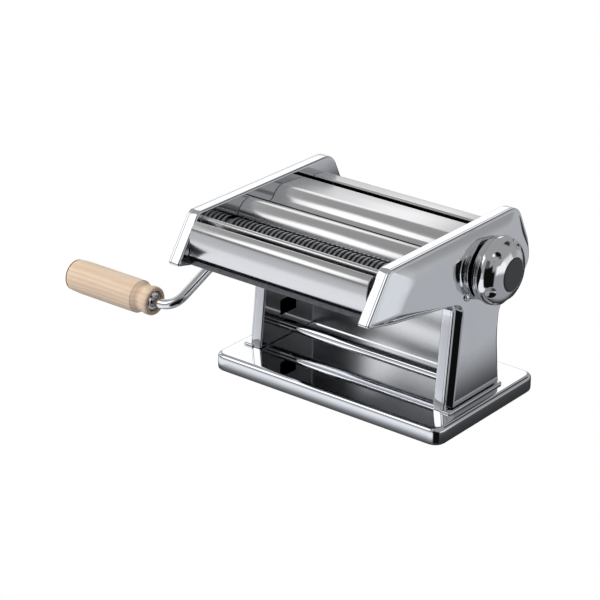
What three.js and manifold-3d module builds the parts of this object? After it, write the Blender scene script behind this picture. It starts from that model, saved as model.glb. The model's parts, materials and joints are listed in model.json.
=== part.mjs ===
// Hand-cranked pasta machine: two pressed side assemblies on a tray base carry one pair of smooth
// sheeting rollers and two pairs of cutting rollers under sheet-metal guards. Millimetres, +Z up.
// X runs along the rollers (+X is the thickness-knob side), -Y is the front wing with the cutters.
import * as THREE from 'three';
import { mergeVertices } from 'three/addons/utils/BufferGeometryUtils.js';
import Module from 'manifold-3d';

const wasm = await Module();
wasm.setup();

// ---------------------------------------------------------------- driving dimensions
const gap = 0.3;                 // clearance between pieces that sit against each other
const rollingWidth = 150;        // length of dough that the rollers take
const sideGap = 3;               // from the end of a roller to the side plate
const plateThickness = 1.5;      // inner side plate
const plateRim = 6;              // depth of the inner plate's turned rim
const coverDepth = 8;            // outer cover, from its rim to its flat face
const coverThickness = 1.2;
const sheet = 1.2;               // guards and front cover

const baseSide = 10;             // how far the tray reaches past each flat outer face
const baseDepth = 122;           // along Y
const baseHeight = 13;
const baseCorner = 10;
const baseBevel = 3.5;
const baseSheet = 1.5;
const footHeight = 1.5;          // how far the rubber feet stand out below the tray
const footRadius = 7;

const sideTop = 143;             // top edge of the side assemblies
const wingTipY = -125.5;         // foremost point of the wing
const wingTipZ = 109;
const wingTopFrontY = -102;      // front end of the level top edge
const wingTopRearY = 50.5;
const neckZ = 91.5;              // where the wing's underside meets the column
const neckFrontY = -26;
const footFrontY = -35;          // front of the column at the tray
const footRearY = 33.5;

const smoothRadius = 13;
const smoothRearY = 35.3;        // driven smooth roller
const smoothZ = 110.3;
const smoothNip = 0.3;           // gap between the smooth rollers at their closest setting
const gapTravel = 2.2;           // how far the front smooth roller moves off
const cutterZ = 117.5;
const fineNipY = -76;
const wideNipY = -26;
const cutterSpacing = 19.4;      // centre distance of each cutting pair
const ridgeRadius = 11;
const grooveRadius = 8.2;
const finePitch = 4;
const widePitch = 13;
const ridgeSideGap = 0.1;        // clearance on each side of a ridge in its neighbour's groove
const journalRadius = 4;
const runningGap = 0.2;          // round a journal in its bearing

const tieRodY = -9;
const tieRodZ = 25.8;
const tieRodRadius = 4.25;
const tieRodEndRadius = 3;

const clampHoleFrontY = -12;     // hole in each inner plate that the table clamp hooks into
const clampHoleLength = 19;
const clampHoleZ = 32.5;
const clampHoleHeight = 12.5;

const hump1Y = -48.5;
const hump1Z = 126;
const hump2Y = -9.5;
const hump2Z = 125;
const humpRadius = 12;

const knobRadius = 25;
const knobReach = 21;            // from the flat outer face to the knob's front
const spindleRadius = 4;
const capRadius = 12.2;
const knobDimples = 5;
const coverScrewSide = 1;         // from the knob's edge forward to the cover screw's axis
const coverScrewDrop = 13.6;      // and down from the knob's axis
const indexRadius = 19;          // circle of the index holes
const indexHoles = 10;
const camTurn = 300;             // degrees of knob turn over the whole gap travel
const camRadius = 8;

const crankRadius = 3.75;
const crankBendReach = 23;       // from the flat outer face to where the crank turns down
const crankCornerReach = 50;     // and to where it turns out into its handle
const crankHandleY = -60;
const crankHandleZ = 37.5;
const gripRadius = 12.8;
const gripBead = 11.2;           // radius of the bead at the grip's inner end
const gripNeck = 10.2;
const gripReach = 67.5;          // from the flat outer face to the grip's inner end
const gripLength = 83;

// ---------------------------------------------------------------- derived places
const plateX = rollingWidth / 2 + sideGap;          // inner face of the side plates
const rimX = plateX + plateRim;                     // end of the inner plate's rim
const coverX = rimX + gap;                          // rim of the outer cover
const faceX = coverX + coverDepth - gap;            // flat outer face
const insideX = faceX - coverThickness;             // inner side of the flat face
const baseWidth = 2 * (faceX + baseSide);           // along X
const deckZ = baseHeight;
const knobFace = faceX + knobReach;                 // X of the knob's front
const crankBendX = -faceX - crankBendReach;
const crankCornerX = -faceX - crankCornerReach;
const gripNear = -faceX - gripReach;                // X of the grip's inner end
const gripFar = gripNear - gripLength;
const smoothFrontY = smoothRearY - 2 * smoothRadius - smoothNip;
const humpSpan = plateX - gap;

// ---------------------------------------------------------------- finishes
const finishes = {
  chrome: { color: 0xdfe3e8, roughness: 0.08, metalness: 1 },
  satin: { color: 0xb9bcc0, roughness: 0.35, metalness: 1 },
  steel: { color: 0x8f9398, roughness: 0.4, metalness: 1 },
  brass: { color: 0xb08d4a, roughness: 0.4, metalness: 1 },
  wood: { color: 0xe4bd92, roughness: 0.55, metalness: 0 },
  blackPlastic: { color: 0x26282c, roughness: 0.45, metalness: 0 },
  nylon: { color: 0xd9d5c8, roughness: 0.5, metalness: 0 },
  rubber: { color: 0x1c1c1d, roughness: 0.9, metalness: 0 },
};

// ---------------------------------------------------------------- geometry helpers
// Turns a shape drawn in (Y, Z) and extruded along its own normal so that it extrudes along X.
const alongX = new THREE.Matrix4().makeBasis(
  new THREE.Vector3(0, 1, 0), new THREE.Vector3(0, 0, 1), new THREE.Vector3(1, 0, 0));

function toManifold(geometry) {
  const clean = geometry.clone();
  clean.deleteAttribute('normal');
  clean.deleteAttribute('uv');
  const merged = mergeVertices(clean, 1e-4);
  return new wasm.Manifold(new wasm.Mesh({
    numProp: 3,
    vertProperties: new Float32Array(merged.attributes.position.array),
    triVerts: new Uint32Array(merged.index.array),
  }));
}

function toGeometry(manifold) {
  const mesh = manifold.getMesh();
  const geometry = new THREE.BufferGeometry();
  geometry.setAttribute('position', new THREE.BufferAttribute(mesh.vertProperties, 3));
  geometry.setIndex(new THREE.BufferAttribute(mesh.triVerts, 1));
  return geometry;
}

// Adds the second list to the first solid and cuts the third list away.
function carve(body, added = [], cuts = []) {
  let solid = toManifold(body);
  for (const piece of added) solid = solid.add(toManifold(piece));
  for (const piece of cuts) solid = solid.subtract(toManifold(piece));
  return toGeometry(solid);
}

// A box between two corners.
function block(x0, x1, y0, y1, z0, z1) {
  const box = new THREE.BoxGeometry(x1 - x0, y1 - y0, z1 - z0);
  return box.translate((x0 + x1) / 2, (y0 + y1) / 2, (z0 + z1) / 2);
}

// A cylinder along X between x0 and x1.
function rodX(radius, x0, x1, y, z, sides = 12) {
  const rod = new THREE.CylinderGeometry(radius, radius, x1 - x0, sides);
  return rod.rotateZ(-Math.PI / 2).translate((x0 + x1) / 2, y, z);
}

// An upright cylinder between z0 and z1.
function uprightRod(radius, x, y, z0, z1, sides = 12) {
  const rod = new THREE.CylinderGeometry(radius, radius, z1 - z0, sides);
  return rod.rotateX(Math.PI / 2).translate(x, y, (z0 + z1) / 2);
}

// A turned solid about the line (y, z) along X, from a profile of [x, radius] that closes on the axis.
function turnedX(profile, y, z, sides = 24) {
  const points = profile.map(([x, radius]) => new THREE.Vector2(radius, x));
  const lathe = new THREE.LatheGeometry(points, sides);
  return lathe.rotateZ(-Math.PI / 2).translate(0, y, z);
}

// A turned ring: its profile is a closed loop of [x, radius] clear of the axis.
function ringX(profile, y, z, sides = 20) {
  return turnedX([...profile, profile[0]], y, z, sides);
}

// An outline in (Y, Z) whose corners are [y, z, setback]: a corner with a setback is a curve
// that leaves the two sides that far from the corner.
function roundedShape(corners) {
  const shape = new THREE.Shape();
  corners.forEach(([y, z, setback = 0], i) => {
    const here = new THREE.Vector2(y, z);
    const before = new THREE.Vector2(...corners.at(i - 1).slice(0, 2));
    const after = new THREE.Vector2(...corners[(i + 1) % corners.length].slice(0, 2));
    const start = here.clone().add(before.sub(here).setLength(setback));
    const end = here.clone().add(after.sub(here).setLength(setback));
    if (i === 0) shape.moveTo(start.x, start.y);
    else shape.lineTo(start.x, start.y);
    if (setback > 0) shape.quadraticCurveTo(here.x, here.y, end.x, end.y);
  });
  shape.closePath();
  return shape;
}

// A flat piece with a (Y, Z) outline, between x0 and x1.
function plateSolid(shape, x0, x1, curveSegments = 4) {
  const options = { depth: x1 - x0, bevelEnabled: false, curveSegments };
  return new THREE.ExtrudeGeometry(shape, options).applyMatrix4(alongX).translate(x0, 0, 0);
}

// The outline's points, without the closing repeat.
function ringOf(corners, curveSegments = 3) {
  const points = roundedShape(corners).getPoints(curveSegments);
  if (points[0].distanceTo(points.at(-1)) < 1e-6) points.pop();
  return points;
}

// A solid through rings of equal point count, each at its own X, with flat ends.
function loftX(rings) {
  const count = rings[0].points.length;
  const vertices = rings.flatMap(({ x, points }) => points.flatMap((p) => [x, p.x, p.y]));
  const faces = [];
  for (let r = 0; r + 1 < rings.length; r += 1) {
    for (let i = 0; i < count; i += 1) {
      const a = r * count + i;
      const b = r * count + (i + 1) % count;
      faces.push(a, b, b + count, a, b + count, a + count);
    }
  }
  const capOf = (points) => THREE.ShapeUtils.triangulateShape(points, []);
  for (const [a, b, c] of capOf(rings[0].points)) faces.push(c, b, a);
  const last = (rings.length - 1) * count;
  for (const [a, b, c] of capOf(rings.at(-1).points)) faces.push(last + a, last + b, last + c);
  const geometry = new THREE.BufferGeometry();
  geometry.setAttribute('position', new THREE.Float32BufferAttribute(vertices, 3));
  geometry.setIndex(faces);
  return geometry;
}

// A sheet of even thickness whose middle line is a list of [y, z], between x0 and x1.
function sheetSolid(line, thickness, x0, x1) {
  const points = line.map(([y, z]) => new THREE.Vector2(y, z));
  const sideOf = (sign) => points.map((point, i) => {
    const before = points[Math.max(i - 1, 0)];
    const after = points[Math.min(i + 1, points.length - 1)];
    const along = after.clone().sub(before).normalize();
    return point.clone().add(new THREE.Vector2(-along.y, along.x).multiplyScalar(sign * thickness / 2));
  });
  const outline = [...sideOf(1), ...sideOf(-1).reverse()];
  return plateSolid(new THREE.Shape(outline), x0, x1);
}

// Points on an arc in (Y, Z), angles in degrees from +Y.
function arcLine(y, z, radius, from, to, steps) {
  return Array.from({ length: steps + 1 }, (_, i) => {
    const angle = THREE.MathUtils.degToRad(from + (to - from) * i / steps);
    return [y + radius * Math.cos(angle), z + radius * Math.sin(angle)];
  });
}

// The mirror image of a solid in the machine's middle plane, still facing outwards.
function mirrored(geometry) {
  const copy = geometry.index ? geometry.toNonIndexed() : geometry.clone();
  const position = copy.attributes.position;
  const flipped = new Float32Array(position.array.length);
  for (let i = 0; i < position.count; i += 3) {
    [i, i + 2, i + 1].forEach((from, corner) => {
      flipped.set([-position.getX(from), position.getY(from), position.getZ(from)], (i + corner) * 3);
    });
  }
  const mirror = new THREE.BufferGeometry();
  mirror.setAttribute('position', new THREE.BufferAttribute(flipped, 3));
  return mergeVertices(mirror, 1e-5);
}

const machine = new THREE.Group();

function addPiece(name, geometry, finish) {
  const mesh = new THREE.Mesh(geometry, new THREE.MeshStandardMaterial(finishes[finish]));
  mesh.name = name;
  machine.add(mesh);
}

// ---------------------------------------------------------------- base tray and feet
function trayShape(inset) {
  const halfWidth = baseWidth / 2 - inset;
  const halfDepth = baseDepth / 2 - inset;
  const corner = baseCorner - inset;
  return roundedShape([
    [-halfWidth, -halfDepth, corner],
    [halfWidth, -halfDepth, corner],
    [halfWidth, halfDepth, corner],
    [-halfWidth, halfDepth, corner],
  ]);
}

function traySolid(inset, bottom, top) {
  const bevel = baseBevel;
  const options = {
    depth: top - bottom - bevel,
    curveSegments: 4,
    bevelSize: bevel,
    bevelThickness: bevel,
    bevelSegments: 2,
  };
  const body = new THREE.ExtrudeGeometry(trayShape(inset + bevel), options).translate(0, 0, bottom);
  return carve(body, [], [block(-baseWidth, baseWidth, -baseDepth, baseDepth, bottom - 2 * bevel, bottom)]);
}

const baseScrewX = plateX + 6;
const baseScrewY = -1;
const screwRadius = 1.8;

function makeBase() {
  const holes = [-1, 1].map((side) => uprightRod(screwRadius + gap, side * baseScrewX, baseScrewY, 3, 23));
  const inner = traySolid(baseSheet, -1, deckZ - baseSheet);
  addPiece('base_plate', carve(traySolid(0, 0, deckZ), [], [inner, ...holes]), 'chrome');

  const footX = baseWidth / 2 - 19;
  const footY = baseDepth / 2 - 15;
  const footTop = deckZ - baseSheet - gap;
  for (const [side, x] of [['left', -footX], ['right', footX]]) {
    for (const [end, y] of [['front', -footY], ['rear', footY]]) {
      const foot = uprightRod(footRadius, x, y, -footHeight, footTop, 16);
      addPiece(`rubber_foot_${side}_${end}`, foot, 'rubber');
    }
  }
}

// ---------------------------------------------------------------- side assemblies
// The side's outline: corner, curve setback, and how far the flat outer face lies inside it.
const sideCorners = [
  { at: [footFrontY, deckZ + gap], setback: 0, inset: [4.2, 0.9] },
  { at: [neckFrontY, neckZ], setback: 6, inset: [5, -1] },
  { at: [-96.5, 102.3], setback: 4, inset: [8, 4.6] },
  { at: [wingTipY, wingTipZ], setback: 2, inset: [29, 0] },
  { at: [wingTopFrontY, sideTop], setback: 3, inset: [21, -15] },
  { at: [wingTopRearY, sideTop], setback: 9, inset: [-7, -13] },
  { at: [66, 111], setback: 5, inset: [-5, -2] },
  { at: [66.5, 100], setback: 4, inset: [-4.5, -1] },
  { at: [56, 89.5], setback: 4, inset: [-4, -3] },
  { at: [31.5, 79], setback: 8, inset: [-6, -4] },
  { at: [29.2, 52], setback: 12, inset: [-6, 0] },
  { at: [footRearY, deckZ + gap], setback: 0, inset: [-5, 0.9] },
];

// Corners moved inwards by an even distance from every side of their outline.
function insetCorners(corners, distance) {
  const inwards = (from, to) => {
    const along = to.clone().sub(from).normalize();
    return new THREE.Vector2(-along.y, along.x);
  };
  const places = corners.map(([y, z]) => new THREE.Vector2(y, z));
  return corners.map(([y, z, setback], i) => {
    const first = inwards(places.at(i - 1), places[i]);
    const second = inwards(places[i], places[(i + 1) % places.length]);
    const bisector = first.clone().add(second).normalize();
    bisector.multiplyScalar(distance / bisector.dot(first));
    return [y + bisector.x, z + bisector.y, setback];
  });
}

// The side's outline, part of the way from its rim (0) to its flat face (1), less a wall.
// The corner list runs clockwise seen from +X, so it is turned round.
function sideRing(share, wall = 0) {
  const corners = sideCorners.map(({ at, setback, inset }) => (
    [at[0] + share * inset[0], at[1] + share * inset[1], setback])).reverse();
  return ringOf(insetCorners(corners, wall));
}

const rollerAxes = {
  smooth_front: [smoothFrontY, smoothZ],
  smooth_rear: [smoothRearY, smoothZ],
  fine_front: [fineNipY - cutterSpacing / 2, cutterZ],
  fine_rear: [fineNipY + cutterSpacing / 2, cutterZ],
  wide_front: [wideNipY - cutterSpacing / 2, cutterZ],
  wide_rear: [wideNipY + cutterSpacing / 2, cutterZ],
};
const drivenRollers = ['smooth_rear', 'fine_rear', 'wide_front'];
const freeCutters = ['fine_front', 'wide_rear'];
const bushRadius = 7.2;
const linkY = smoothFrontY - 6;
const linkZ = smoothZ - 21;
const linkRadius = 2.5;

// A slot through the plate for something of this radius that moves off to the front.
function travelSlot(radius, y, z) {
  const half = radius + gap;
  return plateSolid(roundedShape([
    [y - half - gapTravel, z - half, half * 0.6],
    [y + half, z - half, half * 0.6],
    [y + half, z + half, half * 0.6],
    [y - half - gapTravel, z + half, half * 0.6],
  ]), plateX - 5, rimX);
}

function innerPlate() {
  const outer = loftX([
    { x: plateX, points: sideRing(0, 1) },
    { x: plateX + 1, points: sideRing(0) },
    { x: rimX, points: sideRing(0) },
  ]);
  const cavity = loftX([
    { x: plateX + plateThickness, points: sideRing(0, plateThickness) },
    { x: rimX + 1, points: sideRing(0, plateThickness) },
  ]);
  const through = (radius, [y, z]) => rodX(radius, plateX - 5, rimX, y, z);
  const cuts = [through(tieRodEndRadius + gap, [tieRodY, tieRodZ])];
  for (const name of drivenRollers) cuts.push(through(bushRadius + gap, rollerAxes[name]));
  for (const name of freeCutters) cuts.push(through(journalRadius + runningGap, rollerAxes[name]));
  cuts.push(travelSlot(bushRadius, smoothFrontY, smoothZ), travelSlot(linkRadius, linkY, linkZ));
  const clamp = [clampHoleFrontY, clampHoleFrontY + clampHoleLength];
  cuts.push(block(plateX - 5, rimX, clamp[0], clamp[1], clampHoleZ, clampHoleZ + clampHoleHeight));
  cuts.push(uprightRod(screwRadius + gap, baseScrewX, baseScrewY, deckZ - 4, deckZ + 4));
  const tab = [plateX + 0.5, rimX + 3, baseScrewY - 6, baseScrewY + 6, deckZ + gap];
  const pan = carve(outer, [], [cavity]);
  return carve(pan, [block(...tab, deckZ + gap + plateThickness)], cuts);
}

function outerCover(openings) {
  const outer = loftX([
    { x: coverX, points: sideRing(0) },
    { x: coverX + 2.2, points: sideRing(0) },
    { x: coverX + 3, points: sideRing(0.1) },
    { x: faceX - 1.2, points: sideRing(0.75) },
    { x: faceX, points: sideRing(1) },
  ]);
  const cavity = loftX([
    { x: coverX - 1, points: sideRing(0, coverThickness) },
    { x: coverX + 1.6, points: sideRing(0, coverThickness) },
    { x: insideX, points: sideRing(0.85, coverThickness) },
  ]);
  const bead = block(coverX + 1, faceX + 3, footFrontY - 3, footRearY - 2, deckZ + gap, deckZ + gap + 1.8);
  const half = 6 + gap;
  const tabTop = deckZ + plateThickness + 2 * gap;
  const tabRoom = block(coverX - 2, rimX + 3 + gap, baseScrewY - half, baseScrewY + half, deckZ, tabTop);
  return carve(outer, [bead], [cavity, tabRoom, ...openings]);
}

const socketBore = crankRadius + gap;
const socketRadius = socketBore + 1.6;
const coverScrew = [smoothFrontY - knobRadius - coverScrewSide, smoothZ - coverScrewDrop];
const indexPinRadius = 1.2;

function makeSides() {
  const plate = innerPlate();
  addPiece('inner_plate_right', plate, 'chrome');
  addPiece('inner_plate_left', mirrored(plate), 'chrome');

  const hole = (radius, [y, z]) => rodX(radius, rimX + 2, faceX + 5, y, z);
  const screwHole = hole(screwRadius + gap, coverScrew);
  const indexPinHole = hole(indexPinRadius + gap, [smoothFrontY, smoothZ - indexRadius]);
  const right = outerCover([hole(spindleRadius + gap, rollerAxes.smooth_front), screwHole, indexPinHole]);
  addPiece('outer_cover_right', right, 'chrome');
  const socketHoles = drivenRollers.map((name) => hole(socketRadius + 0.5, rollerAxes[name]));
  addPiece('outer_cover_left', mirrored(outerCover([...socketHoles, screwHole])), 'chrome');

  for (const [label, turn] of [['right', (g) => g], ['left', mirrored]]) {
    const screw = turnedX([
      [faceX - 4.5, 0], [faceX - 4.5, screwRadius], [faceX + gap, screwRadius], [faceX + gap, 3.2],
      [faceX + 1.2, 2.9], [faceX + 1.9, 1.8], [faceX + 2.1, 0],
    ], ...coverScrew, 16);
    addPiece(`cover_screw_${label}`, turn(screw), 'chrome');
    const low = deckZ - baseSheet - gap;
    const head = uprightRod(3.4, baseScrewX, baseScrewY, low - 2, low);
    const shank = uprightRod(screwRadius, baseScrewX, baseScrewY, low - 0.1, low + 5.9);
    addPiece(`base_screw_${label}`, turn(carve(head, [shank])), 'steel');
  }
}

function makeTieRod() {
  const shoulder = plateX - gap;
  const end = plateX + plateThickness + 4.4;
  addPiece('tie_rod', turnedX([
    [-end, 0], [-end, tieRodEndRadius], [-shoulder, tieRodEndRadius], [-shoulder, tieRodRadius],
    [shoulder, tieRodRadius], [shoulder, tieRodEndRadius], [end, tieRodEndRadius], [end, 0],
  ], tieRodY, tieRodZ, 16), 'chrome');
  const nutX = plateX + plateThickness + gap;
  const nutBore = rodX(tieRodEndRadius + gap, nutX - 1, nutX + 4, tieRodY, tieRodZ, 16);
  const nut = carve(rodX(5.5, nutX, nutX + 3, tieRodY, tieRodZ, 6), [], [nutBore]);
  addPiece('tie_rod_nut_right', nut, 'steel');
  addPiece('tie_rod_nut_left', mirrored(nut), 'steel');
}

// ---------------------------------------------------------------- guards between the plates
// The front cover's section: a level top, a tight turn and a long swell down to its lower edge.
const frontCoverLine = [
  [-104.2, 138], [-106.8, 138], [-109.3, 136.6], [-111.3, 133.8], [-112.7, 130], [-113.4, 125.5],
  [-113.2, 120.5], [-112.3, 116], [-110.8, 112.6], [-108.2, 111.6], [-104, 111.6],
];

function makeFrontCover() {
  const cornerRadius = 6;
  const half = rollingWidth / 2;
  const skin = sheetSolid(frontCoverLine, sheet, -half, half);
  const corner = (side) => {
    const low = 110;
    const cutter = new THREE.Shape();
    cutter.moveTo(side * half, low + cornerRadius);
    cutter.quadraticCurveTo(side * half, low, side * (half - cornerRadius), low);
    cutter.lineTo(side * (half + 1), low);
    cutter.lineTo(side * (half + 1), low + cornerRadius);
    const notch = new THREE.ExtrudeGeometry(cutter, { depth: 8, bevelEnabled: false, curveSegments: 4 });
    return notch.rotateX(Math.PI / 2).translate(0, -108.5, 0);
  };
  const tabs = [];
  for (const side of [-1, 1]) {
    const ends = [side * (half - 8), side * (plateX - gap)].sort((a, b) => a - b);
    tabs.push(block(...ends, -107, -104.5, 111.2, 136));
    tabs.push(block(side > 0 ? half - 8 : -half, side > 0 ? half : 8 - half, -107, -104.5, 134, 137.9));
  }
  return carve(skin, tabs, [corner(-1), corner(1)]);
}

function makeGuards() {
  addPiece('front_cover', makeFrontCover(), 'satin');

  const sill = [[-110.8, 110.2], [-110.8, 106.4], [-96, 103.8]];
  addPiece('front_sill', sheetSolid(sill, sheet, -humpSpan, humpSpan), 'steel');

  const guardY = fineNipY - cutterSpacing / 2 - ridgeRadius - 2.5;
  const lip = [[guardY, 109], ...arcLine(guardY + 1.8, 136.6, 1.8, 180, 50, 5)];
  addPiece('cutter_front_guard', sheetSolid(lip, 0.9, -humpSpan, humpSpan), 'satin');

  const guardLine = humpRadius - sheet / 2;
  const hump1 = arcLine(hump1Y, hump1Z, guardLine, 172, 20, 10);
  addPiece('guard_between_cutters', sheetSolid(hump1, sheet, -humpSpan, humpSpan), 'satin');

  const hump2 = [...arcLine(hump2Y, hump2Z, guardLine, 158, 90, 6), [15, 134.4], [16, 131]];
  addPiece('guard_before_rollers', sheetSolid(hump2, sheet, -humpSpan, humpSpan), 'satin');

  const rear = [
    [26.8, 129.5], [27.2, 132.3], [42, 130.8], [47, 127.5], [51.5, 119], [52, 104], [47, 95.2],
    [38, 92], [29.5, 90.5],
  ];
  addPiece('rear_cover', sheetSolid(rear, sheet, -humpSpan, humpSpan), 'satin');
  const panel = [[27.6, deckZ + gap + 0.3], [27.6, 36], [26.4, 89.5]];
  addPiece('rear_panel', sheetSolid(panel, sheet, -humpSpan, humpSpan), 'satin');
}

// ---------------------------------------------------------------- rollers
const rollerEnd = rollingWidth / 2;

// The left end of a driven shaft is a socket for the crank: a bore with one flat.
function withSocket(shaft, [y, z], mouthX, depth) {
  const bore = rodX(socketBore, mouthX - 1, mouthX + depth, y, z, 16);
  const flat = block(mouthX - 2, mouthX + depth + 1, y - 9, y + 9, z + socketBore * 0.6, z + 9);
  const cut = toGeometry(toManifold(bore).subtract(toManifold(flat)));
  return carve(shaft, [], [cut]);
}

const socketMouth = -(faceX + 1);
const socketDepth = 18;

function smoothRoller(axis, leftEnd, leftRadius) {
  return turnedX([
    [leftEnd, 0], [leftEnd, leftRadius], [-rollerEnd, leftRadius], [-rollerEnd, smoothRadius],
    [rollerEnd, smoothRadius], [rollerEnd, journalRadius], [rimX - 1, journalRadius], [rimX - 1, 0],
  ], ...axis, 22);
}

// A cutting roller: ridges with grooves between them; phase 0 starts with a ridge, 1 with a groove.
function cuttingRoller(axis, pitch, phase, leftEnd, leftRadius, sides) {
  const ridge = pitch / 2 - ridgeSideGap;
  const count = Math.floor((rollingWidth - 2) / pitch);
  const start = -(count + 0.5) * pitch / 2;
  const end = -start + 0.8;
  const profile = [[leftEnd, 0], [leftEnd, leftRadius], [-end, leftRadius], [-end, grooveRadius]];
  for (let i = 0; i < count; i += 1) {
    const low = start + (i + phase / 2) * pitch + ridgeSideGap / 2;
    profile.push([low, grooveRadius], [low, ridgeRadius], [low + ridge, ridgeRadius]);
    profile.push([low + ridge, grooveRadius]);
  }
  profile.push([end, grooveRadius], [end, journalRadius], [rimX - 1, journalRadius], [rimX - 1, 0]);
  return turnedX(profile, ...axis, sides);
}

const shaftRadius = socketRadius;
// The gears lie in two layers inside the left cover, as distances from the middle of the machine.
const gearLayers = {
  cutter: [plateX + plateThickness + 2.2, plateX + plateThickness + 5.6],
  smooth: [plateX + plateThickness + 6.2, insideX - 1],
};

function makeRollers() {
  const rear = smoothRoller(rollerAxes.smooth_rear, socketMouth, shaftRadius);
  addPiece('smooth_roller_rear', withSocket(rear, rollerAxes.smooth_rear, socketMouth, socketDepth), 'steel');
  const frontEnd = -(gearLayers.smooth[1] + 0.5);
  addPiece('smooth_roller_front', smoothRoller(rollerAxes.smooth_front, frontEnd, journalRadius), 'steel');

  const driven = (name, pitch, phase, sides) => withSocket(
    cuttingRoller(rollerAxes[name], pitch, phase, socketMouth, shaftRadius, sides),
    rollerAxes[name], socketMouth, socketDepth);
  const free = (name, pitch, phase, sides) => (
    cuttingRoller(rollerAxes[name], pitch, phase, -(gearLayers.cutter[1] + 0.5), journalRadius, sides));
  addPiece('fine_cutter_rear', driven('fine_rear', finePitch, 0, 7), 'steel');
  addPiece('fine_cutter_front', free('fine_front', finePitch, 1, 7), 'steel');
  addPiece('wide_cutter_front', driven('wide_front', widePitch, 0, 10), 'steel');
  addPiece('wide_cutter_rear', free('wide_rear', widePitch, 1, 10), 'steel');
}

// ---------------------------------------------------------------- bearings
function bush(name, side, [y, z], bore) {
  const flangeX = plateX - 1.4;
  const ring = ringX([
    [flangeX, bore + runningGap], [flangeX, 9], [plateX - gap, 9], [plateX - gap, bushRadius],
    [plateX + plateThickness + 1, bushRadius], [plateX + plateThickness + 1, bore + runningGap],
  ], y, z, 14);
  addPiece(name, side === 'left' ? mirrored(ring) : ring, 'nylon');
}

function makeBushes() {
  for (const name of drivenRollers) {
    bush(`${name}_bush_left`, 'left', rollerAxes[name], shaftRadius);
    bush(`${name}_bush_right`, 'right', rollerAxes[name], journalRadius);
  }
}

// ---------------------------------------------------------------- gears
// A spur gear outline: straight-sided teeth, thinner than their spaces so that a pair turns freely.
function gearShape([y, z], teeth, pitchRadius, turned) {
  const moduleSize = 2 * pitchRadius / teeth;
  const pitchAngle = 2 * Math.PI / teeth;
  const root = pitchRadius - 1.2 * moduleSize;
  const tip = pitchRadius + 0.85 * moduleSize;
  const points = [];
  for (let i = 0; i < teeth; i += 1) {
    const middle = (i + turned) * pitchAngle;
    for (const [radius, share] of [[root, -0.33], [tip, -0.1], [tip, 0.1], [root, 0.33]]) {
      const angle = middle + share * pitchAngle;
      points.push(new THREE.Vector2(y + radius * Math.cos(angle), z + radius * Math.sin(angle)));
    }
  }
  return new THREE.Shape(points);
}

const smoothTeeth = 16;
const cutterTeeth = 12;

// One gear of a pair; a turned gear has a space where its neighbour has a tooth.
function makeGear(name, axisName, teeth, pitchRadius, turned, bore, layer) {
  const [x1, x0] = layer.map((x) => -x);
  const body = plateSolid(gearShape(rollerAxes[axisName], teeth, pitchRadius, turned), x0, x1);
  const hole = rodX(bore + gap, x0 - 1, x1 + 1, ...rollerAxes[axisName]);
  addPiece(name, carve(body, [], [hole]), 'steel');
}

function makeGears() {
  const smooth = [smoothTeeth, (smoothRearY - smoothFrontY) / 2];
  makeGear('roller_gear_rear', 'smooth_rear', ...smooth, 0, shaftRadius, gearLayers.smooth);
  makeGear('roller_gear_front', 'smooth_front', ...smooth, 0.5, journalRadius, gearLayers.smooth);
  const cutter = [cutterTeeth, cutterSpacing / 2];
  makeGear('fine_gear_rear', 'fine_rear', ...cutter, 0, shaftRadius, gearLayers.cutter);
  makeGear('fine_gear_front', 'fine_front', ...cutter, 0.5, journalRadius, gearLayers.cutter);
  makeGear('wide_gear_rear', 'wide_rear', ...cutter, 0, journalRadius, gearLayers.cutter);
  makeGear('wide_gear_front', 'wide_front', ...cutter, 0.5, shaftRadius, gearLayers.cutter);
}

// ---------------------------------------------------------------- combs and scrapers
// A strip under a cutting roller whose teeth stand in its grooves and strip the dough off it.
function makeComb(name, axisName, pitch, phase, toothWidth) {
  const [y, z] = rollerAxes[axisName];
  const barTop = z - ridgeRadius - 0.4;
  const bar = block(-humpSpan, humpSpan, y - 2, y + 2, barTop - 2.2, barTop);
  const count = Math.floor((rollingWidth - 2) / pitch);
  const start = -(count + 0.5) * pitch / 2;
  const teeth = [];
  for (let i = 0; i < count; i += 1) {
    const centre = start + (i + (phase === 0 ? 0.75 : 0.25)) * pitch;
    const ends = [centre - toothWidth / 2, centre + toothWidth / 2];
    teeth.push(block(...ends, y - 1.2, y + 1.2, barTop - 0.5, z - grooveRadius - 0.6));
  }
  addPiece(name, carve(bar, teeth), 'steel');
}

function makeCombs() {
  makeComb('fine_comb_front', 'fine_front', finePitch, 1, 1.3);
  makeComb('fine_comb_rear', 'fine_rear', finePitch, 0, 1.3);
  makeComb('wide_comb_front', 'wide_front', widePitch, 0, 5);
  makeComb('wide_comb_rear', 'wide_rear', widePitch, 1, 5);
  const nipY = (smoothRearY + smoothFrontY) / 2;
  for (const [label, side] of [['front', -1], ['rear', 1]]) {
    const line = [[nipY + side * 6.4, smoothZ - 18.2], [nipY + side * 8.9, smoothZ - 14.2]];
    addPiece(`roller_scraper_${label}`, sheetSolid(line, 0.6, -humpSpan, humpSpan), 'steel');
  }
}

// ---------------------------------------------------------------- thickness adjuster and knob
const cam = [rimX + 0.6, rimX + 3.6];
const knobRear = faceX + 1.5;
const springRoom = 9;
const webEnd = knobRear + 3;

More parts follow.
